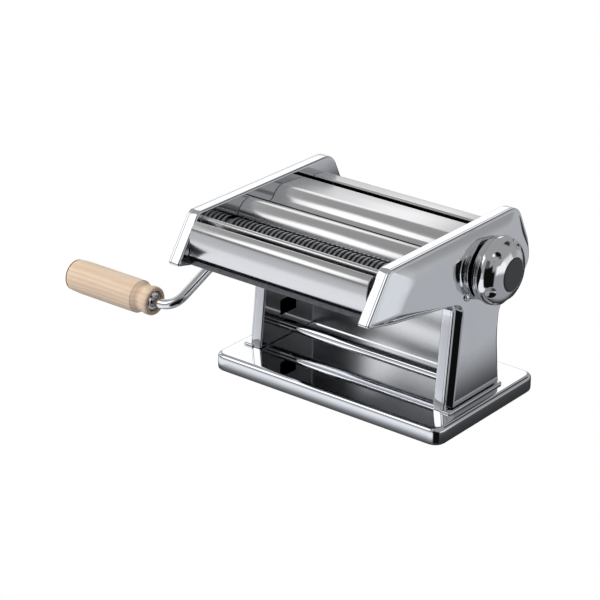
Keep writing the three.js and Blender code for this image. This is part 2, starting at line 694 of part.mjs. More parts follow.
// Each end of the front smooth roller runs in a block that slides on the outside of its side plate.
function makeSlides() {
  const [x0, x1] = [plateX + plateThickness + gap, gearLayers.cutter[0] - 0.4];
  const [y, z] = rollerAxes.smooth_front;
  const fingerY = y - camRadius - gap;
  const outline = roundedShape([
    [linkY - 5, linkZ - 5, 3],
    [linkY + 5, linkZ - 5, 3],
    [y + 8, z - 6, 3],
    [y + 8, z + 8, 4],
    [fingerY - 3, z + 8, 4],
    [fingerY - 3, z - 6, 3],
  ]);
  const sleeve = rodX(bushRadius, plateX - 0.6, x0 + 0.2, y, z, 16);
  const cuts = [
    rodX(journalRadius + runningGap, plateX - 3, x1 + 1, y, z, 16),
    rodX(linkRadius + gap, plateX - 3, x1 + 1, linkY, linkZ, 12),
  ];
  const slide = carve(plateSolid(outline, x0, x1), [sleeve], cuts);
  addPiece('bearing_slide_left', mirrored(slide), 'brass');

  // The right block also has the finger that the cam pushes.
  const finger = block(x1 - 0.4, cam[1], fingerY - 3, fingerY, z - 2, z + 2);
  addPiece('bearing_slide_right', carve(slide, [finger]), 'brass');
  addPiece('gap_link_bar', rodX(linkRadius, -x1, x1, linkY, linkZ, 12), 'steel');
}

// The cam's radius grows evenly with the knob's turn, so the roller's gap does too.
function camShape() {
  const [y, z] = rollerAxes.smooth_front;
  const points = [];
  const steps = 30;
  for (let i = 0; i < steps; i += 1) {
    const turn = 360 * i / steps;
    const rise = turn <= camTurn ? turn / camTurn : (360 - turn) / (360 - camTurn);
    const radius = camRadius + gapTravel * rise;
    const angle = THREE.MathUtils.degToRad(180 - turn);
    points.push(new THREE.Vector2(y + radius * Math.cos(angle), z + radius * Math.sin(angle)));
  }
  return new THREE.Shape(points);
}

function makeKnob() {
  const axis = rollerAxes.smooth_front;
  const headX = knobFace - 7;
  const spindle = turnedX([
    [cam[0], 0], [cam[0], spindleRadius], [headX, spindleRadius], [headX, 2.4], [headX + 2, 2.4],
    [headX + 2, 0],
  ], ...axis, 20);
  addPiece('adjuster_spindle', carve(spindle, [plateSolid(camShape(), ...cam)]), 'steel');
  addPiece('knob_retainer', ringX([
    [headX + gap, 2.7], [headX + gap, 6.5], [headX + 1.8, 6.5], [headX + 1.8, 2.7],
  ], ...axis, 16), 'steel');

  const bore = spindleRadius + gap;
  const body = ringX([
    [knobRear, bore], [knobRear, knobRadius - 2], [knobRear + 0.6, knobRadius - 1.2],
    [knobRear + 2, knobRadius - 1.2], [knobRear + 2.8, knobRadius - 2.4],
    [knobRear + 4.6, knobRadius], [knobRear + 8, knobRadius - 0.4], [knobRear + 11.5, knobRadius - 2.6],
    [knobFace - 3, knobRadius - 6.6], [knobFace - 1.3, knobRadius - 10.5],
    [knobFace - 0.9, capRadius + gap], [knobFace - 4, capRadius + gap], [knobFace - 4, springRoom],
    [webEnd, springRoom], [webEnd, bore],
  ], ...axis, 24);
  const dimples = [];
  for (let i = 0; i < knobDimples; i += 1) {
    const angle = THREE.MathUtils.degToRad(60 + i * 360 / knobDimples);
    const ball = new THREE.SphereGeometry(5.5, 8, 5);
    const [dy, dz] = [23 * Math.cos(angle), 23 * Math.sin(angle)];
    dimples.push(ball.translate(knobFace - 3.5, axis[0] + dy, axis[1] + dz));
  }
  const holes = [];
  for (let i = 0; i < indexHoles; i += 1) {
    const angle = THREE.MathUtils.degToRad(-90 + i * camTurn / (indexHoles - 1));
    const place = [axis[0] + indexRadius * Math.cos(angle), axis[1] + indexRadius * Math.sin(angle)];
    holes.push(rodX(indexPinRadius + gap, knobRear - 1, knobRear + 1.6, ...place, 8));
  }
  addPiece('knob_body', carve(body, [], [...dimples, ...holes]), 'chrome');
  addPiece('knob_cap', turnedX([
    [knobFace - 3.7, 0], [knobFace - 3.7, capRadius], [knobFace - 0.8, capRadius],
    [knobFace, capRadius - 1], [knobFace, 0],
  ], ...axis, 24), 'blackPlastic');
  const pin = rodX(indexPinRadius, insideX + 0.1, knobRear - gap, axis[0], axis[1] - indexRadius, 12);
  addPiece('index_pin', pin, 'steel');

  const coilRadius = spindleRadius + 1.6;
  const turns = 3;
  const coil = new THREE.Curve();
  coil.getPoint = (t, target = new THREE.Vector3()) => {
    const angle = 2 * Math.PI * turns * t;
    const x = webEnd + 0.9 + (headX - webEnd - 1.8) * t;
    return target.set(x, axis[0] + coilRadius * Math.cos(angle), axis[1] + coilRadius * Math.sin(angle));
  };
  const wire = new THREE.Shape().absarc(0, 0, 0.5, 0, 2 * Math.PI);
  const options = { steps: 8 * turns, curveSegments: 3, bevelEnabled: false, extrudePath: coil };
  addPiece('knob_spring', mergeVertices(plain(new THREE.ExtrudeGeometry(wire, options)), 1e-4), 'steel');
}

// ---------------------------------------------------------------- crank
function plain(geometry) {
  geometry.deleteAttribute('normal');
  geometry.deleteAttribute('uv');
  return geometry;
}

// A path of straight runs whose corners are curves starting a setback away from the corner.
function bentPath(corners) {
  const path = new THREE.CurvePath();
  const places = corners.map(({ at }) => new THREE.Vector3(...at));
  let from = places[0];
  for (let i = 1; i + 1 < places.length; i += 1) {
    const towards = (other) => other.clone().sub(places[i]).setLength(corners[i].setback).add(places[i]);
    const start = towards(places[i - 1]);
    const end = towards(places[i + 1]);
    path.add(new THREE.LineCurve3(from, start));
    path.add(new THREE.QuadraticBezierCurve3(start, places[i], end));
    from = end;
  }
  path.add(new THREE.LineCurve3(from, places.at(-1)));
  return path;
}

function makeCrank() {
  const [y, z] = rollerAxes.smooth_rear;
  const tip = socketMouth + socketDepth - 1.5;
  const path = bentPath([
    { at: [tip, y, z] },
    { at: [crankBendX, y, z], setback: 9 },
    { at: [crankCornerX, crankHandleY, crankHandleZ], setback: 12 },
    { at: [gripFar + 8, crankHandleY, crankHandleZ] },
  ]);
  const section = new THREE.Shape().absarc(0, 0, crankRadius, 0, 2 * Math.PI);
  const options = { steps: 34, curveSegments: 5, bevelEnabled: false, extrudePath: path };
  const rod = mergeVertices(plain(new THREE.ExtrudeGeometry(section, options)), 1e-4);
  const flat = block(tip - socketDepth, tip + 1, y - 6, y + 6, z + crankRadius * 0.55, z + 6);
  addPiece('crank_arm', carve(rod, [], [flat]), 'chrome');

  const grip = ringX([
    [gripFar + 7, crankRadius + 0.4], [gripNear - 4.5, crankRadius + 0.4], [gripNear - 4.5, 8.2],
    [gripNear, 8.2], [gripNear, gripBead - 1], [gripNear - 1, gripBead], [gripNear - 5.5, gripBead],
    [gripNear - 8, gripNeck], [gripNear - 10, gripNeck], [gripNear - 14, gripRadius - 0.5],
    [gripNear - 20, gripRadius], [gripFar + 8, gripRadius], [gripFar + 3, gripRadius - 1.8],
    [gripFar + 0.8, gripRadius - 4.4], [gripFar, gripRadius - 8], [gripFar, 0.8], [gripFar + 7, 0.8],
  ].reverse(), crankHandleY, crankHandleZ, 16);
  addPiece('crank_grip', grip, 'wood');
  addPiece('grip_collar', ringX([
    [gripNear - 3.9, crankRadius + 0.25], [gripNear - 3.9, 7.4], [gripNear - 1.2, 7.4],
    [gripNear - 0.4, 5.4], [gripNear - 0.4, crankRadius + 0.25],
  ], crankHandleY, crankHandleZ, 16), 'steel');
}

makeBase();
makeSides();
makeTieRod();
makeGuards();
makeRollers();
makeBushes();
makeGears();
makeCombs();
makeSlides();
makeKnob();
makeCrank();

// The frame's origin is under the middle of the whole machine, on the table.
const extent = new THREE.Box3().setFromObject(machine);
const middle = extent.getCenter(new THREE.Vector3());
machine.position.set(-middle.x, -middle.y, -extent.min.z);
const assembly = new THREE.Group();
assembly.add(machine);

export default assembly;
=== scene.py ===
# %% [markdown]
# # A hand-cranked pasta machine
# A pasta machine is a small steel stand: two chromed side assemblies on a pressed tray, with three
# pairs of rollers between them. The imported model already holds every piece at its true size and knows
# how each one moves. This lesson gives the machine its finish, surface by surface, and takes every
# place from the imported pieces, so nothing can drift away from the mechanism.

# %% Load the mechanism
import json
import math
import bmesh
import bpy
import numpy as np
from mathutils import Matrix, Vector


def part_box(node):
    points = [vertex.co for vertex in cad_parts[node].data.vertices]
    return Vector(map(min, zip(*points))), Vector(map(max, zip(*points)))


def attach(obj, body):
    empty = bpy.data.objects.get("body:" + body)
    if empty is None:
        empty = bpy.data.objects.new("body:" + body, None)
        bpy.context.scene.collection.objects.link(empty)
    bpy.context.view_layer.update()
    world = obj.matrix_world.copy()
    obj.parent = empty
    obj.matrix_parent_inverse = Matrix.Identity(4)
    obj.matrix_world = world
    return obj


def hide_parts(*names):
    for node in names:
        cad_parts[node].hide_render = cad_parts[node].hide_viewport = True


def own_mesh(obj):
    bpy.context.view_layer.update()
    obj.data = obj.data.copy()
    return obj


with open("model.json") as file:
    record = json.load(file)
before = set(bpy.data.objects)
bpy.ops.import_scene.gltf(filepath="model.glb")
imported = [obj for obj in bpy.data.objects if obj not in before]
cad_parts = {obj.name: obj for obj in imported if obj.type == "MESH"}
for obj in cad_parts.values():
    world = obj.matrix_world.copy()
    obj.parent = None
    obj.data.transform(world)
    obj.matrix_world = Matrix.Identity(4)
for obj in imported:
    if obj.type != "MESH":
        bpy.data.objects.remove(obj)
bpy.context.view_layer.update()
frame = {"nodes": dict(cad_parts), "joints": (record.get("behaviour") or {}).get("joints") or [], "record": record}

# %% [markdown]
# Everything below is drawn in millimetres from one home point: midway between the side plates, on the
# underside of the tray, and a known way in front of the driven smooth roller. Metres from the frame's
# origin would do too, but then every outline would carry the machine's place as well as its shape. The
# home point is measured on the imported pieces, so a changed mechanism moves the finish with it, and
# the line that a shaft turns on is read from its joint.

# %% Home point and units
MM = 0.001
REAR_ROLLER_Y = 35.3


def box_mm(node):
    """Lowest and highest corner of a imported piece, in millimetres."""
    return np.array([list(corner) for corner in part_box(node)]) / MM


plates = np.array([box_mm("inner_plate_left"), box_mm("inner_plate_right")])
rear_roller = box_mm("smooth_roller_rear")
HOME = np.array([
    (plates[0, 0, 0] + plates[1, 1, 0]) / 2,
    rear_roller[:, 1].mean() - REAR_ROLLER_Y,
    box_mm("base_plate")[0, 2],
])
print("home point", HOME.round(2), "mm")


def seen_from_home(node):
    """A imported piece's box, in millimetres from the home point."""
    return box_mm(node) - HOME


def shaft_axis(body):
    """The (Y, Z) of the hinge that a body of the mechanism turns on, from the home point."""
    hinge = next(joint for joint in frame["joints"] if joint["child"] == body and joint["type"] == "hinge")
    return (np.array(hinge["pos_m"]) / MM - HOME)[1:]


# %% [markdown]
# A surface is a grid: one index runs along a section, the other carries that section round or along.
# Four neighbours make a face, and a grid that closes on itself joins its last row to its first. The
# whole face table is one numpy expression, so even a finely ridged roller takes no time.

# %% Grids, caps and pieces
def grid_faces(rows, columns, wrap_rows=False, wrap_columns=True):
    """Quads (r, c), (r, c+1), (r+1, c+1), (r+1, c) over a grid, modulo its size where it wraps."""
    r = np.arange(rows if wrap_rows else rows - 1)[:, None]
    c = np.arange(columns if wrap_columns else columns - 1)[None, :]
    r2 = (r + 1) % rows
    c2 = (c + 1) % columns
    corners = [r * columns + c, r * columns + c2, r2 * columns + c2, r2 * columns + c]
    return np.stack(np.broadcast_arrays(*corners), axis=-1).reshape(-1, 4)


def capped_grid(rows, columns):
    """A tube's quads with a flat face over each end."""
    faces = grid_faces(rows, columns).tolist()
    faces.append(list(range(columns))[::-1])
    faces.append([(rows - 1) * columns + column for column in range(columns)])
    return faces


def piece(name, points, faces, finish, body, slot, replaces=(), crease=38.0):
    """A finished piece from points in millimetres from home, riding on a body of the mechanism."""
    mesh = bpy.data.meshes.new(name)
    mesh.from_pydata(((np.asarray(points) + HOME) * MM).tolist(), [], [list(face) for face in faces])
    solid = bmesh.new()
    solid.from_mesh(mesh)
    bmesh.ops.remove_doubles(solid, verts=solid.verts, dist=1e-7)
    bmesh.ops.recalc_face_normals(solid, faces=solid.faces)
    solid.to_mesh(mesh)
    solid.free()
    mesh.shade_smooth()
    mesh.set_sharp_from_angle(angle=math.radians(crease))
    mesh.materials.append(finish)
    made = bpy.data.objects.new(name, mesh)
    bpy.context.scene.collection.objects.link(made)
    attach(made, body)
    if replaces:
        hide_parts(*replaces)
    return made


def softened(corners, steps=6, closed=True, runs=1):
    """An outline [[u, v, setback], ...] with each corner turned into a curve.

    A corner P with ends A and B on its two sides, each a setback away, becomes the curve
    (1-t)^2 A + 2t(1-t) P + t^2 B for t from 0 to 1. A straight side is cut into so many runs."""
    corners = np.asarray(corners, float)
    places, setbacks = corners[:, :2], corners[:, 2]
    before = np.roll(places, 1, axis=0) - places
    after = np.roll(places, -1, axis=0) - places
    before /= np.linalg.norm(before, axis=1)[:, None]
    after /= np.linalg.norm(after, axis=1)[:, None]
    if not closed:
        before[0] = 0
        after[-1] = 0
    t = np.linspace(0, 1, steps + 1)[None, :, None]
    start = (places + before * setbacks[:, None])[:, None]
    end = (places + after * setbacks[:, None])[:, None]
    curve = (1 - t) ** 2 * start + 2 * t * (1 - t) * places[:, None] + t ** 2 * end
    if runs > 1:
        following = np.roll(curve[:, 0], -1, axis=0)[:, None]
        share = np.linspace(0, 1, runs + 1)[None, 1:-1, None]
        straight = curve[:, -1:] * (1 - share) + following * share
        if not closed:
            straight[-1] = curve[-1, -1:]
        curve = np.concatenate([curve, straight], axis=1)
    return curve.reshape(-1, 2)


# %% [markdown]
# Round parts are turned: a section of [X, radius] is carried about a line parallel to X. Where the
# section ends on the line, one pole point closes it; where it is a loop, the grid closes on itself.

# %% Turned parts
def turned(section, axis, sides=64):
    """Points (x, y0 + r cos a, z0 + r sin a) for every section point [x, r] and angle a, with faces."""
    section = np.asarray(section, float)
    on_axis = section[0, 1] < 1e-9
    rings = section[1:-1] if on_axis else section
    angle = np.linspace(0, 2 * np.pi, sides, endpoint=False)
    x = np.repeat(rings[:, :1], sides, axis=1)
    y = axis[0] + rings[:, 1:] * np.cos(angle)
    z = axis[1] + rings[:, 1:] * np.sin(angle)
    points = np.stack([x, y, z], axis=-1).reshape(-1, 3)
    faces = grid_faces(len(rings), sides, wrap_rows=not on_axis).tolist()
    if on_axis:
        first, last = len(points), len(points) + 1
        poles = [[section[0, 0], *axis], [section[-1, 0], *axis]]
        points = np.concatenate([points, poles])
        top = (len(rings) - 1) * sides
        for side in range(sides):
            following = (side + 1) % sides
            faces.append([first, following, side])
            faces.append([last, top + side, top + following])
    return points, faces


def section_of(*corners, steps=4):
    """A turned section whose corners are rounded; its first and last points are put on the axis."""
    section = softened(corners, steps, closed=False)
    section[[0, -1], 1] = 0
    return section


# %% [markdown]
# Sheet-metal guards are bent from flat strip. A Solidify modifier on a bent plane would make one, but its
# edges would be square. Here the bend line is drawn in the side view, given its thickness by stepping
# half of it to each side, and drawn out between the side plates. The edges are drawn in a little at the
# ends, because a cut edge that has been tumbled catches a thin line of light.

# %% Bent sheet
def bent_sheet(line, thickness, x0, x1, edge=0.35):
    """A strip of even thickness along a bend line, between x0 and x1.

    Every point of the line steps half the thickness along its normal, both ways, and the loop of those
    points is carried along X; the first and last rings are drawn in by the edge radius."""
    line = np.asarray(line, float)
    along = np.gradient(line, axis=0)
    along /= np.linalg.norm(along, axis=1)[:, None]
    normal = np.stack([-along[:, 1], along[:, 0]], axis=-1)
    rings = []
    for x, pull in ((x0, edge), (x0 + edge * 0.3, edge * 0.3), (x0 + edge, 0), (x1 - edge, 0),
                    (x1 - edge * 0.3, edge * 0.3), (x1, edge)):
        half = thickness / 2 - pull * 0.8
        inner, outer = line - normal * half, line + normal * half
        ends = [line[-1] + along[-1] * (half * 0.6 - 0.3), line[0] - along[0] * (half * 0.6 - 0.3)]
        loop = np.concatenate([outer, ends[:1], inner[::-1], ends[1:]])
        rings.append(np.column_stack([np.full(len(loop), x), loop]))
    points = np.concatenate(rings)
    count = len(rings[0])
    faces = grid_faces(len(rings), count).tolist()
    half_count = len(line)
    for ring in (0, len(rings) - 1):
        base = ring * count
        for i in range(half_count - 1):
            faces.append([base + i, base + i + 1, base + count - 3 - i, base + count - 2 - i])
        faces.append([base + half_count - 1, base + half_count, base + half_count + 1])
        faces.append([base, base + count - 1, base + count - 2])
    return points, faces


def arc(y, z, radius, start, end, steps=24):
    """Points y + r cos a, z + r sin a, for a from start to end in degrees."""
    angle = np.radians(np.linspace(start, end, steps + 1))
    return np.column_stack([y + radius * np.cos(angle), z + radius * np.sin(angle)])


# %% [markdown]
# Shader maths reads best as plain expressions. One small class wraps a socket; adding or multiplying
# two of them adds the matching Math node, and one method adds any other node from its settings.

# %% Shader helpers
class Value:
    """A number that changes over a surface, as a socket of a node tree."""

    def __init__(self, tree, socket):
        self.tree = tree
        self.socket = socket

    def math(self, operation, other=0.0, swap=False):
        first, second = (other, self) if swap else (self, other)
        return self.tree.node("ShaderNodeMath", {"operation": operation}, {0: first, 1: second})

    def __add__(self, other):
        return self.math("ADD", other)

    def __mul__(self, other):
        return self.math("MULTIPLY", other)

    def __sub__(self, other):
        return self.math("SUBTRACT", other)

    def __rsub__(self, other):
        return self.math("SUBTRACT", other, swap=True)

    def __truediv__(self, other):
        return self.math("DIVIDE", other)

    __radd__ = __add__
    __rmul__ = __mul__

    def step(self, low, high):
        """0 below low, 1 above high, and a smooth rise between."""
        return self.tree.node("ShaderNodeMapRange", {"interpolation_type": "SMOOTHSTEP"},
                              {"Value": self, "From Min": low, "From Max": high})


class Tree:
    """A material's or the world's node tree, cleared, with one method that adds any node."""

    def __init__(self, owner):
        owner.use_nodes = True
        self.tree = owner.node_tree
        self.tree.nodes.clear()

    def node(self, kind, settings=None, inputs=None, output=0):
        made = self.tree.nodes.new(kind)
        for key, value in (settings or {}).items():
            setattr(made, key, value)
        for key, value in (inputs or {}).items():
            if isinstance(value, Value):
                self.tree.links.new(value.socket, made.inputs[key])
            else:
                made.inputs[key].default_value = value
        return Value(self, made.outputs[output]) if made.outputs else made

    def place(self):
        """Object coordinates, which stay on the piece when it moves."""
        return self.node("ShaderNodeTexCoord", output=3)

    def scaled(self, x, y, z):
        """Object coordinates stretched along each axis."""
        return self.node("ShaderNodeMapping", inputs={"Vector": self.place(), "Scale": (x, y, z)})

    def parts(self, vector):
        """The X, Y and Z of a vector."""
        split = self.tree.nodes.new("ShaderNodeSeparateXYZ")
        self.tree.links.new(vector.socket, split.inputs[0])
        return [Value(self, part) for part in split.outputs]

    def noise(self, vector, scale, detail=4.0, roughness=0.5):
        return self.node("ShaderNodeTexNoise", inputs={
            "Vector": vector, "Scale": scale, "Detail": detail, "Roughness": roughness})

    def blend(self, mask, *colours):
        """From the first colour to the second as the mask goes from 0 to 1; sockets 6 and 7 are colours."""
        first, second = [(*colour, 1.0) if isinstance(colour, tuple) else colour for colour in colours]
        return self.node("ShaderNodeMix", {"data_type": "RGBA"},
                         {"Factor": mask, 6: first, 7: second}, output=2)

    def bump(self, height, strength, distance):
        return self.node("ShaderNodeBump", inputs={
            "Height": height, "Strength": strength, "Distance": distance})

    def surface(self, fixed, linked):
        shader = self.node("ShaderNodeBsdfPrincipled", inputs={**fixed, **linked})
        self.node("ShaderNodeOutputMaterial", inputs={"Surface": shader})


def finish_named(name):
    made = bpy.data.materials.new(name)
    return made, Tree(made)


# %% [markdown]
# The plated pieces are mirror bright. One metallic colour with no roughness would do for a first look,
# but a perfect mirror looks drawn, so three small faults are mixed in: the plate is a little wavy from
# polishing, it is smeared with very faint finger marks, and hairline wiping scratches raise its
# roughness here and there. Pressed steel is wavier and greyer than turned rod, so it has its own plate.

# %% Chrome plate
def make_chrome(name, tint, wave, roughness):
    made, tree = finish_named(name)
    wavy = tree.noise(tree.scaled(1, 1, 1), 45.0, detail=1.0)
    smear = tree.noise(tree.scaled(1, 1.6, 1), 28.0, detail=5.0, roughness=0.62).step(0.52, 0.8)
    wiping = tree.noise(tree.scaled(1, 18, 3), 60.0, detail=3.0).step(0.6, 0.85)
    rough = smear * 0.05 + wiping * 0.04 + roughness
    shade = tree.blend(smear, tint, tuple(0.94 * part for part in tint))
    tree.surface({"Metallic": 1.0},
                 {"Base Color": shade, "Roughness": rough, "Normal": tree.bump(wavy, wave, 0.0006)})
    return made


chrome = make_chrome("polished chrome", (0.88, 0.89, 0.91), 0.06, 0.025)
pressed_chrome = make_chrome("chrome on pressed steel", (0.84, 0.855, 0.885), 0.10, 0.045)
print("chrome finishes ready")

# %% [markdown]
# The guards and the front cover are stainless sheet, brushed along the rollers. Brushing is noise
# stretched a long way in X: it moves the roughness and gives the surface fine grooves. Turned steel has
# its grooves round the shaft, and bronze has open grain, so the same recipe serves with another stretch.
# Its colours are the light and the dark of one tone, as far apart as the grooves are deep.

# %% Satin sheet and turned steel
def make_brushed(name, light, dark, roughness, stretch, depth):
    made, tree = finish_named(name)
    brush = tree.noise(tree.scaled(*stretch), 900.0, detail=2.0)
    cloud = tree.noise(tree.scaled(1, 1, 1), 22.0, detail=3.0)
    shade = tree.blend(brush.step(0.3, 0.7), dark, light)
    rough = brush * 0.06 + cloud * 0.05 + roughness
    tree.surface({"Metallic": 1.0},
                 {"Base Color": shade, "Roughness": rough, "Normal": tree.bump(brush, depth, 0.0002)})
    return made


ALONG_ROLLERS = (0.02, 1, 1)
satin = make_brushed("satin stainless sheet", (0.80, 0.80, 0.81), (0.775, 0.775, 0.79), 0.17,
                     ALONG_ROLLERS, 0.02)
panel_satin = make_brushed("soft satin sheet", (0.90, 0.90, 0.91), (0.87, 0.87, 0.88), 0.24,
                           ALONG_ROLLERS, 0.02)
turned_steel = make_brushed("turned steel", (0.42, 0.425, 0.44), (0.32, 0.325, 0.34), 0.2,
                            (1, 0.2, 0.2), 0.06)
# The dark steel is oiled steel on the rollers, and painted shade inside the pans and on the sill.
dark_steel = make_brushed("oiled steel and painted shade", (0.14, 0.142, 0.15), (0.09, 0.092, 0.10), 0.30,
                          (0.2, 1, 1), 0.1)
bronze = make_brushed("sintered bronze", (0.68, 0.52, 0.30), (0.50, 0.37, 0.20), 0.34,
                      (1, 1, 1), 0.25)
print("brushed finishes ready")

# %% [markdown]
# The grip is turned from pale beech. Its rings are planes along the blank that the lathe cuts across,
# so they read as long soft streaks, with the short dark flecks that beech always has. A wave gives the
# rings, and noise drawn out along the grip gives the streaks and flecks. Moulded plastic, nylon and
# rubber differ only in colour, shine and grain, so one function makes all three.

# %% Beech, plastics and rubber
def make_beech():
    made, tree = finish_named("turned beech")
    warp = tree.noise(tree.scaled(0.5, 1, 1), 60.0, detail=2.0)
    streak = tree.noise(tree.scaled(0.06, 1.0, 1.0), 420.0, detail=5.0, roughness=0.6)
    fleck = tree.noise(tree.scaled(0.12, 1.0, 1.0), 1500.0, detail=1.0).step(0.66, 0.78)
    rings = tree.node("ShaderNodeTexWave", {"wave_type": "BANDS", "bands_direction": "Z"}, {
        "Vector": tree.scaled(0.1, 0.6, 1), "Scale": 95.0, "Distortion": 3.5, "Detail": 2.0,
        "Detail Scale": 1.2}, output=1)
    tone = tree.blend((streak * 0.7 + rings * 0.3).step(0.25, 0.75), (0.86, 0.62, 0.44), (0.96, 0.76, 0.58))
    tone = tree.blend(fleck * 0.4, tone, (0.62, 0.40, 0.24))
    tree.surface({"Coat Roughness": 0.3, "Specular IOR Level": 0.4},
                 {"Base Color": tone, "Roughness": streak * 0.15 + warp * 0.08 + 0.40,
                  "Coat Weight": warp * 0.1 + 0.08, "Normal": tree.bump(streak + fleck, 0.12, 0.0002)})
    return made


def make_moulded(name, colour, roughness, grain, depth):
    """A plastic or rubber with a fine grain, up to a quarter lighter in its clouds."""
    made, tree = finish_named(name)
    texture = tree.noise(tree.scaled(1, 1, 1), grain, detail=2.0)
    cloud = tree.noise(tree.scaled(1, 1, 1), 35.0, detail=3.0)
    shade = tree.blend(cloud.step(0.35, 0.7), colour, tuple(min(1.0, 1.25 * part) for part in colour))
    tree.surface({}, {"Base Color": shade, "Roughness": cloud * 0.08 + roughness,
                      "Normal": tree.bump(texture, depth, 0.0002)})
    return made


beech = make_beech()
cap_black = make_moulded("moulded black cap", (0.035, 0.037, 0.043), 0.34, 1400.0, 0.12)
nylon = make_moulded("nylon bearing", (0.72, 0.69, 0.60), 0.42, 900.0, 0.1)
rubber = make_moulded("foot rubber", (0.02, 0.02, 0.021), 0.75, 700.0, 0.3)

FINISH_OF_SLOT = {
    "chrome": chrome, "satin_metal": satin, "tool_steel": turned_steel, "bronze": bronze, "beech": beech,
    "black_plastic": cap_black, "nylon": nylon, "rubber": rubber,
}
for part in frame["record"]["subparts"]:
    materials = frame["nodes"][part["node"]].data.materials
    materials.clear()
    materials.append(FINISH_OF_SLOT[part["material_slot"]])
print("every packed piece has its finish")

# %% [markdown]
# ## The tray
# The tray is pressed from one sheet: a flat deck, a soft roll all the way round and a lip that turns
# down to the table. A bevelled box would be solid underneath, and a bevel can't turn the lip in. So one
# rounded rectangle is drawn once, and a short list says how far in and how high each copy of it sits on
# the way from the deck's edge down the roll and back up inside.

# %% Tray
TRAY = seen_from_home("base_plate")
TRAY_TOP = TRAY[1, 2]
TRAY_CORNER = 10.0
TRAY_ROLL = 3.4
TRAY_SHEET = 1.5
DECK_RING = 40.0


def tray_ring(inset, height):
    """The tray's outline drawn in by an inset, as a rounded rectangle at one height."""
    (x0, y0), (x1, y1) = TRAY[0, :2] + inset, TRAY[1, :2] - inset
    corner = max(TRAY_CORNER - inset, 1.0)
    ring = softened([[x0, y0, corner], [x1, y0, corner], [x1, y1, corner], [x0, y1, corner]], 10, runs=6)
    return np.column_stack([ring, np.full(len(ring), height)])


def make_tray():
    """The (inset, height) steps over the deck, down the roll, round the lip and back inside."""
    deck = [(inset, TRAY_TOP) for inset in (DECK_RING, 8.0, TRAY_ROLL + 1.2, TRAY_ROLL + 0.5)]
    roll = [(TRAY_ROLL * (1 - math.cos(a)), TRAY_TOP - TRAY_ROLL * (1 - math.sin(a)))
            for a in np.radians(np.linspace(90, 0, 11))]
    lip = [(0.0, 6.0), (0.0, 2.2), (0.25, 0.9), (0.8, 0.25), (1.5, 0.0), (2.0, 0.5), (2.2, 2.0)]
    inside = [(2.2, TRAY_TOP - 4.5), (3.6, TRAY_TOP - 2.0)]
    inside += [(inset, TRAY_TOP - TRAY_SHEET) for inset in (8.0, DECK_RING)]
    rings = [tray_ring(inset, height) for inset, height in [*deck, *roll, *lip, *inside]]
    faces = capped_grid(len(rings), len(rings[0]))
    piece("tray", np.concatenate(rings), faces, pressed_chrome, "stand", "chrome", ["base_plate"], 50)


make_tray()
print("tray", (TRAY[1] - TRAY[0]).round(1), "mm")

# %% [markdown]
# ## The side assemblies
# Each side is two pressings. The inner plate is a shallow pan with its rim turned outwards; the outer
# cover is a deeper one, whose face is drawn in from the outline by a different amount at every corner.
# An extrusion with a bevel would draw it in evenly, which a press tool doesn't. One outline serves both:
# each corner says where it is on the rim and how softly it turns there, how far the flat face lies
# inside it, and how softly it turns on the face.

# %% Side outline
PLATE_X = seen_from_home("inner_plate_right")[0, 0]
RIM_X = seen_from_home("inner_plate_right")[1, 0]
COVER_X = seen_from_home("outer_cover_right")[0, 0]
FACE_X = 92.0
DECK_GAP = 0.3
# Y, Z, setback on the rim, shift in Y and Z to the face, setback on the face
SIDE_CORNERS = np.array([
    [-35.0, TRAY_TOP + DECK_GAP, 0.01, 4.2, 0.9, 0.01],
    [-26.0, 91.5, 8, 5.0, -1.0, 12],
    [-96.5, 102.3, 5, 8.0, 4.6, 0.4],
    [-125.5, 109.0, 2.6, 29.0, 0.0, 2.2],
    [-102.0, 143.0, 3.4, 21.0, -15.0, 10],
    [50.5, 143.0, 10, -7.0, -13.0, 12],
    [66.0, 111.0, 6, -5.0, -2.0, 3.5],
    [66.5, 100.0, 5, -4.5, -1.0, 3.5],
    [56.0, 89.5, 5, -4.0, -3.0, 5],
    [31.5, 79.0, 9, -6.0, -4.0, 9],
    [29.2, 52.0, 13, -6.0, 0.0, 9],
    [33.5, TRAY_TOP + DECK_GAP, 0.01, -5.0, 0.9, 0.01],
])[::-1]


def inset_corners(places, distance):
    """Corners moved inwards so that every side of their outline moves by the same distance.

    With n1 and n2 the inward normals of a corner's two sides and b their normalised sum, the corner
    moves by distance / (b . n1) along b."""
    along = np.roll(places, -1, axis=0) - places
    along /= np.linalg.norm(along, axis=1)[:, None]
    second = np.stack([-along[:, 1], along[:, 0]], axis=-1)
    first = np.roll(second, 1, axis=0)
    middle = first + second
    middle /= np.linalg.norm(middle, axis=1)[:, None]
    return places + middle * (distance / (middle * first).sum(axis=1))[:, None]


def side_ring(x, share=0.0, inset=0.0):
    """The side's outline at one X: a share of the way in to the flat face, less an even inset."""
    places = SIDE_CORNERS[:, :2] + share * SIDE_CORNERS[:, 3:5]
    setbacks = SIDE_CORNERS[:, 2] * (1 - share) + share * SIDE_CORNERS[:, 5]
    ring = softened(np.column_stack([inset_corners(places, inset), setbacks]), 9, runs=9)
    return np.column_stack([np.full(len(ring), x), ring])


# %% [markdown]
# The clamp hook, the shafts and the sliding bearings pass through round and square holes. Building a
# hole into the grid would bend every ring round it, so holes are cut with a Boolean. It is applied at
# once, so the finished piece is plain mesh, and the cutters are thrown away straight after.

# %% Cutting holes
def prism(outline, x0, x1):
    """A closed bar with an outline in (Y, Z), between x0 and x1."""
    outline = np.asarray(outline, float)
    count = len(outline)
    points = np.concatenate([np.column_stack([np.full(count, x), outline]) for x in (x0, x1)])
    return points, capped_grid(2, count)


def circle(centre, radius, steps=40):
    return arc(centre[0], centre[1], radius, 0, 360, steps)[:-1]


